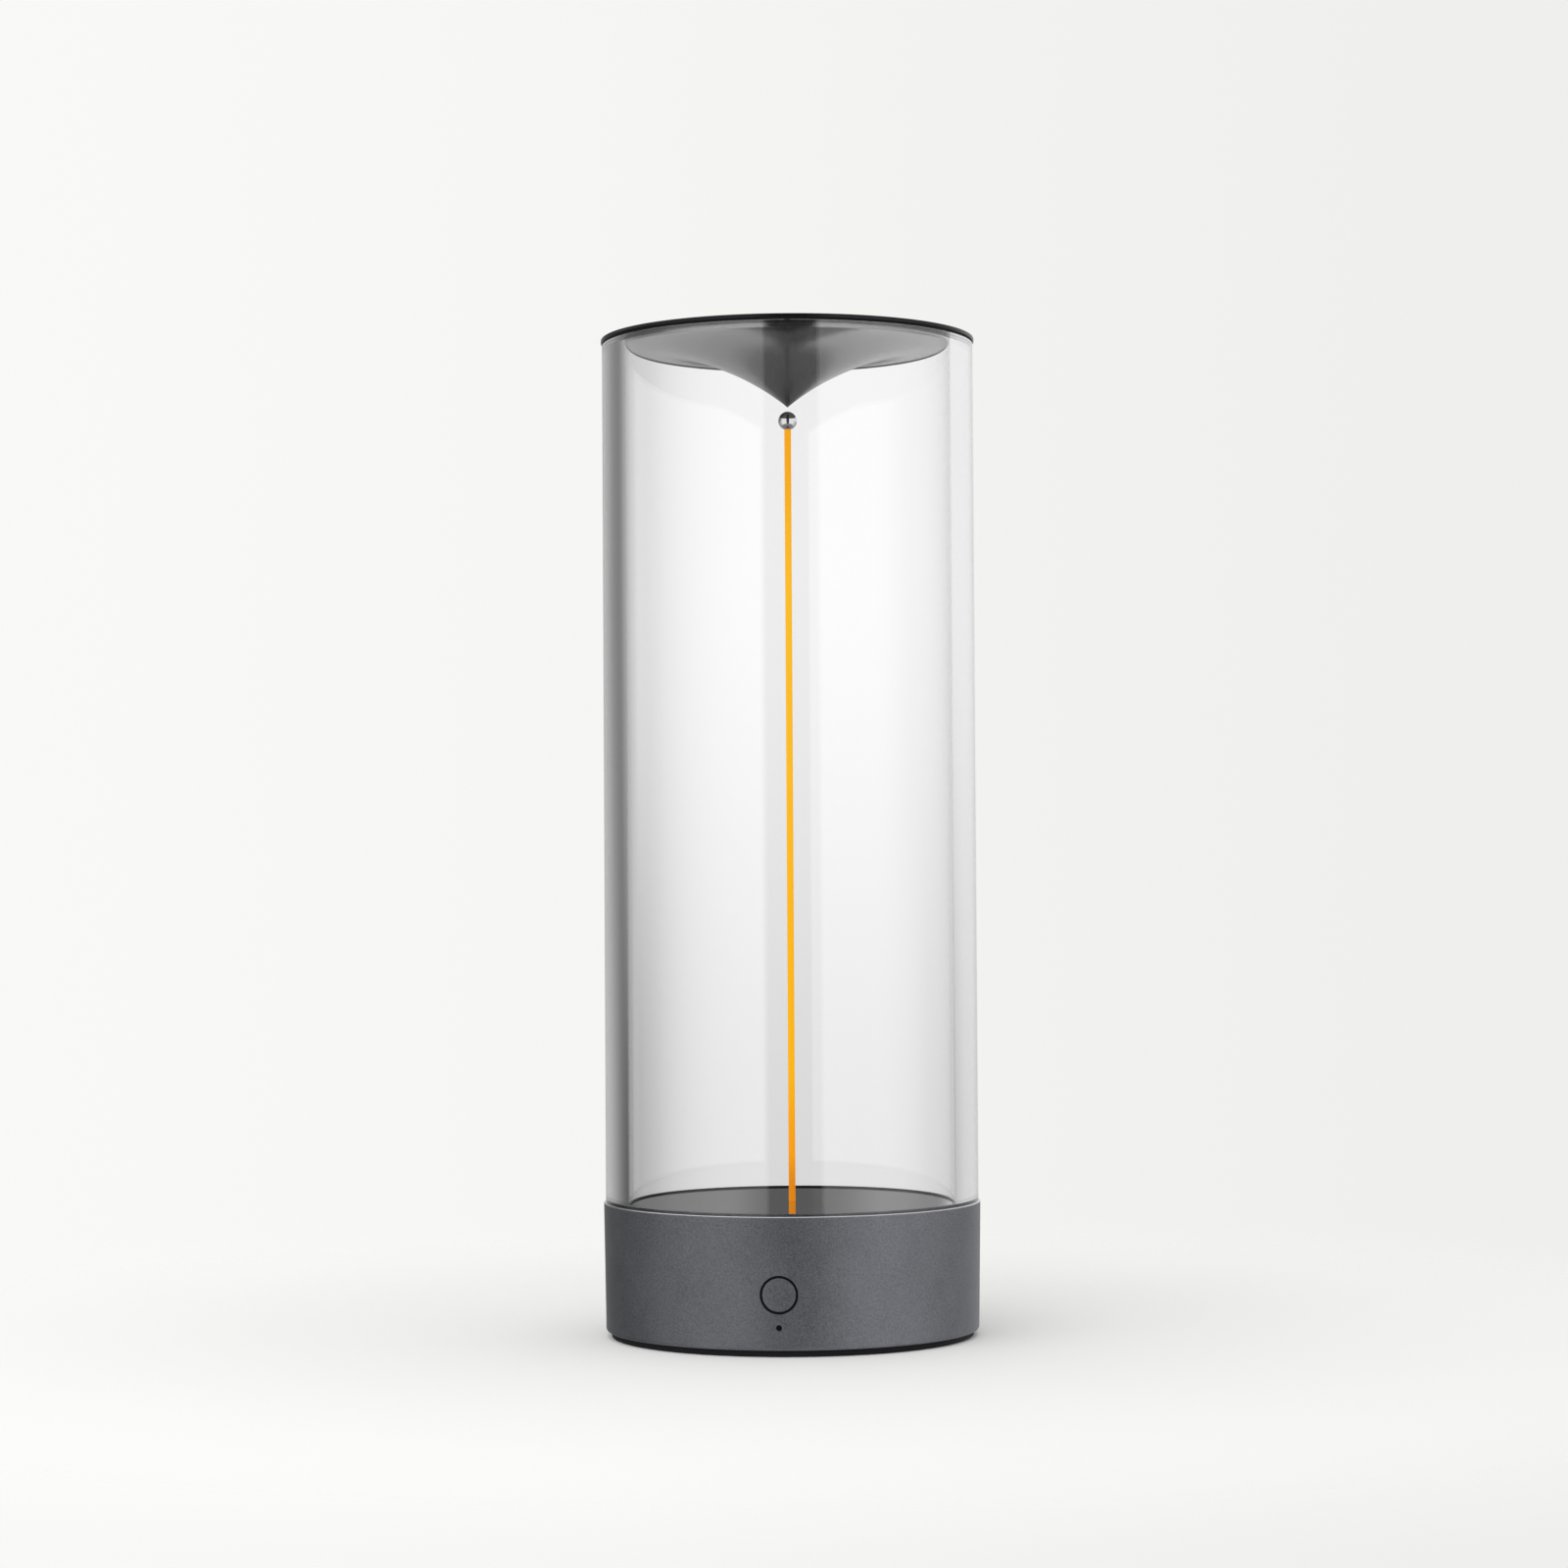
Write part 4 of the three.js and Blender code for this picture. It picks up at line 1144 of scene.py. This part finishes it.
@dataclass
class Fittings:
    """What sits in the wall of the base: the button, its ring, the dot and the charging port.

    Args:
        dresser: Gives the finishes.
        base: The base, whose face they follow.
        cap_radius: The button's radius.
        cap_edge: Its softened edge.
        cap_rings: The rings of its face and the steps of its edge.
        stem: The radius of its stem.
        collar: The thickness of the collars of the button and its ring.
        ring_bore: The inner radius of the black ring.
        ring_outer: Its outer radius.
        ring_recess: How far it lies below the shell's face.
        ring_edge: Its softened edge.
        dot_radius: The radius of the indicator's window.
        dot_rings: The rings of its face.
        dot_recess: How far it lies below the shell's face.
        dot_collar: Where its collar starts and ends, from the axis.
        port_wall: The wall of the port's metal sleeve.
        port_back: The thickness of its back.
    """

    dresser: Dresser
    base: BaseShell
    cap_radius: float = 4.3 * MM
    cap_edge: float = 0.15 * MM
    cap_rings: tuple[int, int] = (6, 4)
    stem: float = 1.75 * MM
    collar: float = 0.8 * MM
    ring_bore: float = 4.37 * MM
    ring_outer: float = 4.88 * MM
    ring_recess: float = 0.15 * MM
    ring_edge: float = 0.08 * MM
    dot_radius: float = 0.7 * MM
    dot_rings: int = 4
    dot_recess: float = 0.1 * MM
    dot_collar: tuple[float, float] = (44.95 * MM, 43.95 * MM)
    port_wall: float = 0.3 * MM
    port_back: float = 0.7 * MM

    def build(self) -> None:
        """Builds the fittings."""
        self.build_button()
        self.build_ring()
        self.build_dot()
        self.build_port()

    def fit(self, name: str, stations: list[Station], finish: str, node: str, **shape: Any) -> None:
        """Makes a fitting at its node's height and dresses it.

        Args:
            name: The piece's name.
            stations: Its rings.
            finish: The finish's name.
            node: The node that it stands for.
            shape: What else pressed takes.
        """
        piece = MeshShop.pressed(name, stations, self.base.face, Extent.of(node).middle.z, **shape)
        self.dresser.place(piece, finish, node)

    def build_button(self) -> None:
        """The round cap, flush with the base, on its stem."""
        cap, radius, edge = Extent.of("button_cap"), self.cap_radius, self.cap_edge
        front, back = -Extent.of("button_bezel").high.y - PLAY, -cap.high.y
        rear, flat = front - self.collar, radius - edge
        rings, turns = self.cap_rings
        stations = [Station(spread, 0.0) for spread in evenly(0.0, flat, rings)]
        for a in evenly(0.0, math.pi / 2, turns)[1:]:
            stations.append(Station(flat + edge * math.sin(a), edge * (1 - math.cos(a))))
        stations += fixed((radius, front), (cap.radius, front), (cap.radius, rear), (self.stem, rear))
        stations += fixed((self.stem, back), (0, back))
        self.fit("push_button", stations, "anodised_shell", "button_cap")

    def build_ring(self) -> None:
        """The black ring round the button, a little below the shell's face."""
        ring = Extent.of("button_bezel")
        bore, outer, recess, soft = self.ring_bore, self.ring_outer, self.ring_recess, self.ring_edge
        back = -ring.high.y
        front = back + self.collar
        stations = fixed((bore, back))
        stations += [Station(bore, recess + soft), Station(bore + soft, recess)]
        stations += [Station(outer - soft, recess), Station(outer, recess + soft)]
        stations += fixed((outer, front), (ring.radius, front), (ring.radius, back))
        self.fit("button_ring", stations, "ring_black", "button_bezel", closed=True)

    def build_dot(self) -> None:
        """The indicator's dark window, on its light pipe."""
        pipe, radius = Extent.of("indicator_pipe"), self.dot_radius
        front, rear = self.dot_collar
        back = -pipe.high.y
        stations = [Station(spread, self.dot_recess) for spread in evenly(0.0, radius, self.dot_rings)]
        stations += fixed((radius, front), (pipe.radius, front), (pipe.radius, rear), (radius, rear))
        stations += fixed((radius, back), (0, back))
        self.fit("indicator_window", stations, "light_pipe", "indicator_pipe", facets=SMALL)

    def build_port(self) -> None:
        """The charging port: a rolled metal sleeve round a tongue with its contacts."""
        port, tongue = Extent.of("usb_socket"), Extent.of("usb_tongue")
        half = (port.top - port.bottom) / 2
        inner, mouth, back = half - self.port_wall, port.high.y, port.low.y
        stations = fixed(
            (half, back), (half, mouth - SOFT), (half - SOFT, mouth), (inner + SOFT, mouth),
            (inner, mouth - SOFT), (inner, back + self.port_back),
        )
        straight = port.radius - half
        self.fit("port_sleeve", stations, "contact_metal", "usb_socket", side=Side.BACK, straight=straight)
        slab = MeshShop.slab("port_tongue", tongue.low, tongue.high)
        self.dresser.place(slab, "black_plastic", "usb_tongue")


@dataclass
class ClearTube:
    """The clear tube and the gasket that it stands on.

    Args:
        dresser: Gives the finishes.
        wall: The thickness of its wall.
    """

    dresser: Dresser
    wall: float = 6 * MM

    def build(self) -> None:
        """Builds the tube and its gasket."""
        tube, gasket = Extent.of("clear_tube"), Extent.of("tube_gasket")
        inner = tube.radius - self.wall
        outline = band(inner, tube.radius, tube.bottom, tube.top)
        piece = MeshShop.turned("clear_cylinder", rounded(outline, SOFT, 3))
        self.dresser.place(piece, "clear_acrylic", "clear_tube")
        outline = band(inner, gasket.radius, gasket.bottom, gasket.top - AIR)
        ring = MeshShop.turned("tube_seal", rounded(outline, SOFT, 2))
        self.dresser.place(ring, "foot_rubber", "tube_gasket")


@dataclass
class Deck:
    """The round plate inside the tube, with the hole that the light strip rises from.

    Args:
        dresser: Gives the finishes.
        edge: The softened edge of the plate.
        thickness: The thickness of the plate.
        skirt: The thickness of the skirt that it stands on.
        hole: The radius of the hole for the strip.
        guide_play: The gap round the strip's guide.
        boss: The radius of the bosses that take its screws.
        boss_root: How far they go into the plate.
        seal_gap: The gap on each side of the black ring between deck and tube.
        seal_height: How far that ring stands above the deck.
        seal_depth: How far it goes down beside it.
        seal_edge: Its softened edge.
        outward: How far out, as a share of the tube's bore, its outer faces look.
    """

    dresser: Dresser
    edge: float = 0.2 * MM
    thickness: float = 2 * MM
    skirt: float = 2 * MM
    hole: float = 1.1 * MM
    guide_play: float = 0.05 * MM
    boss: float = 2.5 * MM
    boss_root: float = 0.1 * MM
    seal_gap: float = 0.02 * MM
    seal_height: float = 0.4 * MM
    seal_depth: float = 1 * MM
    seal_edge: float = 0.08 * MM
    outward: float = 0.6

    def build(self) -> None:
        """Turns the plate with its skirt, adds the screws' bosses and lays the ring round it."""
        deck, guide = Extent.of("deck_plate"), Extent.of("filament_guide")
        under, skirt = deck.top - self.thickness, deck.radius - self.skirt
        seat = guide.radius + self.guide_play
        outline = [
            (self.hole, guide.top), (self.hole, deck.top), (deck.radius, deck.top),
            (deck.radius, deck.bottom), (skirt, deck.bottom), (skirt, under), (seat, under),
            (seat, guide.top),
        ]
        plate = MeshShop.turned("deck_face", rounded(outline, self.edge))
        bosses, holes = [], []
        for screw in (Extent.of(f"deck_screw_{i}") for i in range(1, 4)):
            high, roof = under + self.boss_root, screw.top + SCREW_ROOM
            bosses.append(MeshShop.column(screw.middle, self.boss, deck.bottom, high))
            holes.append(MeshShop.column(screw.middle, SMALL_SCREW_HOLE, deck.bottom - ROOT, roof))
        MeshShop.merged(plate, bosses, Merge.ADD)
        MeshShop.merged(plate, holes, Merge.CUT)
        self.dresser.place(plate, "deck_gloss", "deck_plate")
        self.build_seal(deck)

    def build_seal(self, deck: Extent) -> None:
        """The black ring between deck and tube, whose outer faces show the shell's metal through the tube.

        Args:
            deck: The plate's box.
        """
        bore = Extent.of("clear_tube").radius - ClearTube.wall
        near, far = deck.radius + self.seal_gap, bore - self.seal_gap
        outline = band(near, far, deck.top - self.seal_depth, deck.top + self.seal_height)
        seal = MeshShop.turned("deck_seal", rounded(outline, self.seal_edge))
        self.dresser.add(seal, "ring_black", "base")
        seal.data.materials.append(self.dresser.material("anodised_shell"))
        for polygon in seal.data.polygons:
            polygon.material_index = int(polygon.normal.dot(polygon.center) > bore * self.outward)


@dataclass
class LightStrip:
    """The amber strip and the steel ball at its end.

    Args:
        dresser: Gives the finishes.
        bore: The radius of the channel for the flexible circuit.
        end_edge: The rounding of the strip's ends.
        socket: The depth of the ball's hole for the strip.
        socket_play: The gap round the strip in that hole.
    """

    dresser: Dresser
    bore: float = 0.45 * MM
    end_edge: float = 0.15 * MM
    socket: float = 1.1 * MM
    socket_play: float = 0.05 * MM

    def build(self) -> None:
        """Builds the strip and the ball."""
        outline = band(self.bore, STRIP.radius, STRIP.bottom, STRIP.top)
        strip = MeshShop.turned("amber_strip", rounded(outline, self.end_edge), SMALL)
        self.dresser.place(strip, "amber_silicone", "filament_jacket")
        ball = Extent.of("steel_ball")
        centre, hole = ball.top - ball.radius, STRIP.radius + self.socket_play
        roof = centre - ball.radius + self.socket
        turns = evenly(-math.acos(hole / ball.radius), math.pi / 2, SMALL)
        outline = [(0, roof), (hole, roof), *arc((0.0, centre), ball.radius, turns)[:-1], (0, ball.top)]
        bead = MeshShop.turned("steel_bead", outline, FINE)
        bead.visible_glossy = False
        self.dresser.place(bead, "ball_steel", "steel_ball")


@dataclass
class Lid:
    """The thin lid, its gasket and its flared underside.

    Args:
        dresser: Gives the finishes.
        edge: The rounding of the plate's edge.
        drop: How far the underside's rim lies below the tube's upper end.
        rim_edge: The chamfer round that rim.
        lip: How far the rim stands down from the underside.
        lip_slope: The width of the lip's inner face.
        lip_width: The width of its lower face.
        rim_wall: The wall of the underside's rim.
        sheet: The thickness of the flare.
        steps: The steps along the flare's arc.
        inner_steps: The same on its inner side.
    """

    dresser: Dresser
    edge: float = 0.3 * MM
    drop: float = 1.1 * MM
    rim_edge: float = 0.28 * MM
    lip: float = 0.22 * MM
    lip_slope: float = 0.03 * MM
    lip_width: float = 0.06 * MM
    rim_wall: float = 2 * MM
    sheet: float = 1.5 * MM
    steps: int = 72
    inner_steps: int = 24

    def build(self) -> None:
        """Builds the three parts."""
        plate, flare, gasket = (Extent.of(name) for name in ("lid_plate", "lid_flare", "lid_gasket"))
        outline = band(0, plate.radius, plate.bottom, plate.top)
        disc = MeshShop.turned("lid_disc", rounded(outline, self.edge))
        # The plate takes the darker copy of the lid's metal: partly its own dark colour, partly painted
        # shade.
        self.dresser.place(disc, "shaded_lid", "lid_plate")
        self.build_flare(flare)
        outline = band(flare.radius + PLAY, gasket.radius, gasket.bottom + AIR, gasket.top)
        seal = MeshShop.turned("lid_seal", rounded(outline, SOFT, 2))
        self.dresser.place(seal, "foot_rubber", "lid_gasket")

    def build_flare(self, flare: Extent) -> None:
        """The underside: one arc that is level at its rim and steepest at the point.

        Args:
            flare: The underside's box.
        """
        magnet, radius = Extent.of("lid_magnet"), flare.radius
        rim = Extent.of("clear_tube").top - self.drop
        bend = radius / math.sin(2 * math.atan((rim - flare.bottom) / radius))

        def underside(distance: float) -> float:
            """The height of the underside at a distance from the axis."""
            across = (radius - distance) / bend
            return rim - bend * (1 - math.sqrt(1 - across * across))

        reach = radius - self.rim_edge
        inner_rim = radius - self.rim_wall
        foot = reach + self.lip_slope
        toe = foot + self.lip_width
        outline = [(r, underside(r)) for r in evenly(0.0, reach, self.steps)]
        outline += [(foot, rim - self.lip), (toe, rim - self.lip), (radius, rim + self.rim_edge)]
        outline += [(radius, flare.top), (inner_rim, flare.top)]
        pocket = evenly(inner_rim, magnet.radius + PLAY, self.inner_steps)
        outline += [(r, underside(r) + self.sheet) for r in pocket] + [(0, magnet.bottom)]
        piece = MeshShop.turned("lid_underside", outline)
        self.dresser.place(piece, "anodised_lid", "lid_flare")
        # Painted shade: the lip's inner and lower faces take the darker copy of the lid's metal, which draws
        # a dark line round the underside's rim.
        piece.data.materials.append(self.dresser.material("shaded_lid"))
        for polygon in piece.data.polygons:
            painted_shade_lip = reach < polygon.center.to_2d().length < toe
            polygon.material_index = int(painted_shade_lip and polygon.center.z < rim + self.rim_edge)


@dataclass
class Works:
    """What the base and the lid hold inside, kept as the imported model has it."""

    dresser: Dresser

    def build(self) -> None:
        """Dresses the inner nodes."""
        keep = self.dresser.keep
        keep("board", "main_board", "switch_board", "usb_board")
        keep("cell_can", "front_cell", "rear_cell")
        keep("contact_metal", "positive_strip", "negative_strip")
        plastics = ("cell_cradle", "switch_body", "switch_bracket", "magnet_retainer", "filament_guide")
        keep("black_plastic", *plastics)
        connectors = ("battery_connector", "switch_connector", "usb_connector", "filament_socket")
        keep("connector_ivory", *connectors, "switch_plunger")
        keep("wire_red", "red_lead")
        keep("wire_black", "black_lead")
        keep("wire_grey", "switch_lead", "usb_lead")
        keep("led_white", "indicator_led")
        keep("magnet_nickel", "lid_magnet")
        keep("ferrule_brass", "filament_ferrule", "filament_circuit")
        counts = {"board": 3, "deck": 3, "bracket": 2, "usb": 2}
        screws = [f"{part}_screw_{i + 1}" for part, count in counts.items() for i in range(count)]
        keep("screw_steel", *screws)


# The photograph's view, light and floor


@dataclass(frozen=True)
class Viewpoint:
    """The camera that took the photograph, as fitted to the lamp's edges.

    Args:
        distance: From the lamp's axis.
        height: Above the table.
        turn: How far to the right of the button it stands, in degrees.
        pitch: How far it looks up, in radians.
        roll: How far it leans, in radians.
        pan: How far it looks past the axis, in radians.
        lens: The focal length in millimetres.
        sensor: The sensor's width in millimetres.
    """

    distance: float = 1.00805
    height: float = 0.12348
    turn: float = 4.05
    pitch: float = 0.02403
    roll: float = -0.00592
    pan: float = -0.00153
    lens: float = 85.93
    sensor: float = 36.0

    def build(self) -> None:
        """Makes the camera."""
        data = bpy.data.cameras.new("camera")
        data.lens = self.lens
        data.sensor_width = self.sensor
        camera = bpy.data.objects.new("camera", data)
        bpy.context.scene.collection.objects.link(camera)
        bpy.context.scene.camera = camera
        level = math.cos(self.pitch)
        ahead = Vector((math.sin(self.pan) * level, math.cos(self.pan) * level, math.sin(self.pitch)))
        aside = Vector((math.cos(self.pan), -math.sin(self.pan), 0))
        above = aside.cross(ahead)
        right = aside * math.cos(self.roll) + above * math.sin(self.roll)
        up = above * math.cos(self.roll) - aside * math.sin(self.roll)
        axes = Matrix((right, up, -ahead)).transposed().to_4x4()
        around = Matrix.Rotation(math.radians(self.turn), 4, "Z")
        camera.matrix_world = around @ Matrix.Translation((0, -self.distance, self.height)) @ axes


@dataclass(frozen=True)
class Surround:
    """How bright the room is round the lamp, for one kind of ray.

    Args:
        stops: Angles in degrees to the right of straight away from the camera, each with its brightness,
            where 1 is white. The brightness goes smoothly from one stop to the next.
    """

    stops: tuple[tuple[float, float], ...]

    def level(self, wiring: Wiring, angle: Any) -> Any:
        """Adds the brightness at an angle.

        Args:
            wiring: The world's wiring.
            angle: The ray's angle in degrees.

        Returns:
            The brightness.
        """
        level: Any = self.stops[0][1]
        for (low, _), (high, brightness) in zip(self.stops, self.stops[1:]):
            level = wiring.ramp(angle, low, high, level, brightness)
        return level


@dataclass(frozen=True)
class Room:
    """The room round the lamp: two large softboxes beside the camera, a dark gap between them and pale walls.

    Args:
        outside: What the lamp's outer faces and the tube's wall mirror.
        outside_low: The same for rays that go down to the table.
        inside: What the deck and the ball mirror through the tube's own wall.
        inside_low: What the lid's underside and the ball mirror through it, in rays that go down.
        through: What shows straight through the tube.
        low: The slopes of the lowest and the highest ray, and how much of the last is left near the table.
        level_slopes: The slopes between which what shows inside changes.
        steep: The slopes between which it turns into the shade below, and that shade.
        twice: How much of it is left for what mirrors another mirror, as the ball does the lid.
        within: The transmission depth above which a ray is inside the tube.
        ambient: The brightness of the walls for matt surfaces.
        table: The brightness below.
        table_slopes: The slopes between which it gives way to the walls.
        ceiling: The brightness overhead.
        ceiling_slopes: The slopes between which the walls give way to it.
    """

    outside: Surround = Surround((
        (-165.5, 0.1), (-164.5, 0.85), (-100.0, 0.85), (-60.0, 0.72), (-38.0, 0.16), (-14.0, 0.42),
        (6.0, 0.88), (66.0, 0.84), (108.0, 0.92), (160.0, 0.92), (161.0, 0.1),
    ))
    outside_low: Surround = Surround((
        (-165.5, 0.1), (-164.5, 0.85), (-135.0, 0.8), (-106.0, 0.5), (-80.0, 0.1), (-48.0, 0.1),
        (-14.0, 0.5), (4.0, 0.74), (30.0, 0.69), (50.0, 0.5), (80.0, 0.5), (108.0, 1.0), (160.0, 1.0),
        (161.0, 0.1),
    ))
    inside: Surround = Surround((
        (-165.5, 0.05), (-164.5, 1.05), (-116.0, 1.05), (-76.0, 0.22), (-20.0, 0.22), (-3.0, 0.22),
        (-1.0, 0.12), (1.0, 0.12), (5.0, 0.26), (14.0, 0.26), (30.0, 1.0), (160.0, 1.05), (161.0, 0.05),
    ))
    inside_low: Surround = Surround((
        (-165.5, 0.05), (-164.5, 1.05), (-116.0, 1.05), (-80.0, 0.6), (-60.0, 0.3), (-35.0, 0.4),
        (-14.0, 0.5), (-2.4, 0.5), (-1.6, 0.12), (3.2, 0.12), (4.4, 0.65), (17.0, 0.65), (28.0, 0.3),
        (70.0, 0.6), (108.0, 1.0), (160.0, 1.05), (161.0, 0.05),
    ))
    through: Surround = Surround((
        (-63.0, 0.24), (-55.0, 0.72), (-14.0, 0.72), (-1.0, 0.99), (90.0, 0.92), (98.0, 0.24),
    ))
    low: tuple[float, float, float] = (-0.1, 0.09, 0.8)
    level_slopes: tuple[float, float] = (-0.05, 0.05)
    steep: tuple[float, float, float] = (-0.72, -0.52, 0.25)
    twice: float = 0.25
    within: float = 2.5
    ambient: float = 0.36
    table: float = 0.6
    table_slopes: tuple[float, float] = (-0.75, -0.45)
    ceiling: float = 1.0
    ceiling_slopes: tuple[float, float] = (0.35, 0.8)

    def build(self, wiring: Wiring, turn: float) -> bpy.types.NodeSocket:
        """Adds the room's brightness for every ray that isn't the camera's own.

        Args:
            wiring: The world's wiring.
            turn: The camera's own angle, in radians.

        Returns:
            The brightness.
        """
        ramp, either, calc = wiring.ramp, wiring.either, wiring.calc
        ray = wiring.place("Generated")
        rises = wiring.split(ray)[2]
        path = wiring.path()
        right, ahead = self.along(wiring, ray, turn), self.along(wiring, ray, turn + math.pi / 2)
        angle = calc("DEGREES", calc("ARCTAN2", right, ahead))
        mirrored = wiring.mirrored(path)
        within = calc("GREATER_THAN", path["Transmission Depth"], self.within)
        direct = calc("SUBTRACT", path["Is Transmission Ray"], mirrored)
        low, high, dim = self.low
        outside = (surround.level(wiring, angle) for surround in (self.outside_low, self.outside))
        outside = ramp(rises, low, high, *outside)
        inside = (surround.level(wiring, angle) for surround in (self.inside_low, self.inside))
        inside = ramp(rises, *self.level_slopes, *inside)
        lowest, steepest, shade = self.steep
        inside = ramp(rises, lowest, steepest, shade, inside)
        inside = calc("MULTIPLY", inside, ramp(path["Glossy Depth"], 1.0, 2.0, 1.0, self.twice))
        seen = calc("MULTIPLY", self.through.level(wiring, angle), ramp(rises, low, high, dim, 1.0))
        level = either(mirrored, self.ambient, either(within, outside, inside))
        level = either(direct, level, seen)
        below = either(calc("MULTIPLY", mirrored, within), self.table, level)
        level = ramp(rises, *self.table_slopes, below, level)
        return ramp(rises, *self.ceiling_slopes, level, self.ceiling)

    @staticmethod
    def along(wiring: Wiring, ray: Any, turn: float) -> bpy.types.NodeSocket:
        """Adds how far a ray goes in a level direction."""
        inputs = {0: ray, 1: (math.cos(turn), math.sin(turn), 0.0)}
        return wiring.add("ShaderNodeVectorMath", inputs, operation="DOT_PRODUCT").outputs["Value"]


@dataclass(frozen=True)
class Studio:
    """The pale floor and backdrop, and the light.

    Args:
        turn: The camera's own angle, in degrees.
        room: What the lamp mirrors.
        backdrop: The backdrop's colour to the left of the camera.
        backdrop_right: Its colour to the right.
        backdrop_turn: How far to each side of straight ahead it changes, in degrees.
        fill: The room's strength as a light.
        key: The brightness of the softbox that lights the table.
        key_turn: Where it stands, in degrees right of the camera.
        key_distance: Its distance from the axis.
        key_size: Its width and height.
        floor_radius: The floor's radius.
        floor_colour: The floor's own colour.
        floor_glow: What the floor adds for the camera, near the lamp and where it turns into the backdrop.
        fade_seen: Where the floor turns into the backdrop for the camera.
        fade_through: Where it does as seen through the tube.
    """

    turn: float
    room: Room = Room()
    backdrop: Colour = (0.945, 0.95, 0.925)
    backdrop_right: Colour = (0.862, 0.868, 0.85)
    backdrop_turn: float = 13.0
    fill: float = 1.15
    key: float = 1.3
    key_turn: float = -28.0
    key_distance: float = 0.95
    key_size: tuple[float, float] = (1.36, 1.3)
    floor_radius: float = 4.0
    floor_colour: Colour = (0.83, 0.83, 0.82)
    floor_glow: tuple[float, float] = (0.05, 0.12)
    fade_seen: tuple[float, float] = (0.12, 0.36)
    fade_through: tuple[float, float] = (0.16, 0.5)

    def build(self) -> None:
        """Builds the world, the softbox and the floor."""
        bpy.context.scene.view_settings.view_transform = "Standard"
        self.build_world()
        self.build_key()
        self.build_floor()

    def build_world(self) -> None:
        """The backdrop for the camera, and the room for light, gloss and what shows through the tube."""
        world = bpy.data.worlds.new("studio")
        bpy.context.scene.world = world
        wiring = Wiring.on(world)
        turn, edge = math.radians(self.turn), math.sin(math.radians(self.backdrop_turn))
        across = self.room.along(wiring, wiring.place("Generated"), turn)
        pale = wiring.blend(wiring.ramp(across, -edge, edge, 0.0, 1.0), self.backdrop, self.backdrop_right)
        path = wiring.path()
        camera = path["Is Camera Ray"]
        colour = wiring.blend(camera, self.room.build(wiring, turn), pale)
        shown = wiring.calc("MAXIMUM", path["Is Glossy Ray"], path["Is Transmission Ray"])
        strength = wiring.either(wiring.calc("MAXIMUM", shown, camera), self.fill, 1.0)
        background = wiring.add("ShaderNodeBackground", {0: colour, 1: strength})
        wiring.add("ShaderNodeOutputWorld", {"Surface": background.outputs[0]})

    def build_key(self) -> None:
        """The left softbox as a light for what is matt. What is glossy mirrors the room's own."""
        width, height = self.key_size
        data = bpy.data.lights.new("key", "AREA")
        data.shape = "RECTANGLE"
        data.size = width
        data.size_y = height
        data.energy = self.key * math.pi * width * height
        lamp = bpy.data.objects.new("key", data)
        angle = math.radians(self.key_turn + self.turn)
        away = Vector((math.sin(angle), -math.cos(angle), 0))
        lamp.location = away * self.key_distance + Vector((0, 0, height / 2))
        lamp.rotation_euler = away.to_track_quat("Z", "Y").to_euler()
        lamp.visible_camera = False
        lamp.visible_glossy = False
        lamp.visible_transmission = False
        bpy.context.scene.collection.objects.link(lamp)

    def build_floor(self) -> None:
        """A round pale floor that keeps the lamp's shadow and fades into the backdrop."""
        shape = bmesh.new()
        bmesh.ops.create_circle(shape, cap_ends=True, segments=FINE, radius=self.floor_radius)
        floor = MeshShop.piece("floor", shape)
        material = bpy.data.materials.new("pale_floor")
        wiring = Wiring.on(material)
        length = wiring.add("ShaderNodeVectorMath", {0: wiring.place()}, operation="LENGTH")
        distance = length.outputs["Value"]
        path = wiring.path()
        camera = path["Is Camera Ray"]
        fades = (wiring.either(camera, *ways) for ways in zip(self.fade_through, self.fade_seen))
        fade = wiring.calc("MAXIMUM", wiring.mirrored(path), wiring.ramp(distance, *fades, 0.0, 1.0))
        matt = wiring.add("ShaderNodeBsdfDiffuse", {0: (*self.floor_colour, 1.0)}).outputs[0]
        added = wiring.calc("MULTIPLY", camera, wiring.ramp(distance, *self.fade_seen, *self.floor_glow))
        glow = wiring.add("ShaderNodeEmission", {0: (*self.backdrop, 1.0), 1: added}).outputs[0]
        near = wiring.add("ShaderNodeAddShader", {0: matt, 1: glow}).outputs[0]
        surface = wiring.mix(fade, near, wiring.add("ShaderNodeBsdfTransparent").outputs[0])
        wiring.add("ShaderNodeOutputMaterial", {"Surface": surface})
        floor.data.materials.append(material)
        floor.visible_glossy = False


def main() -> None:
    """Builds the lamp's looks."""
    logging.basicConfig(level=logging.INFO, format="%(name)s: %(message)s")
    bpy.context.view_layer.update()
    viewpoint = Viewpoint()
    viewpoint.build()
    dresser = Dresser()
    base = BaseShell(dresser)
    parts = [base, Underside(dresser), Fittings(dresser, base)]
    parts += [kind(dresser) for kind in (ClearTube, Deck, LightStrip, Lid, Works)]
    for part in parts:
        log.info("building %s", type(part).__name__)
        part.build()
    Studio(viewpoint.turn).build()


if __name__ == "__main__":
    main()
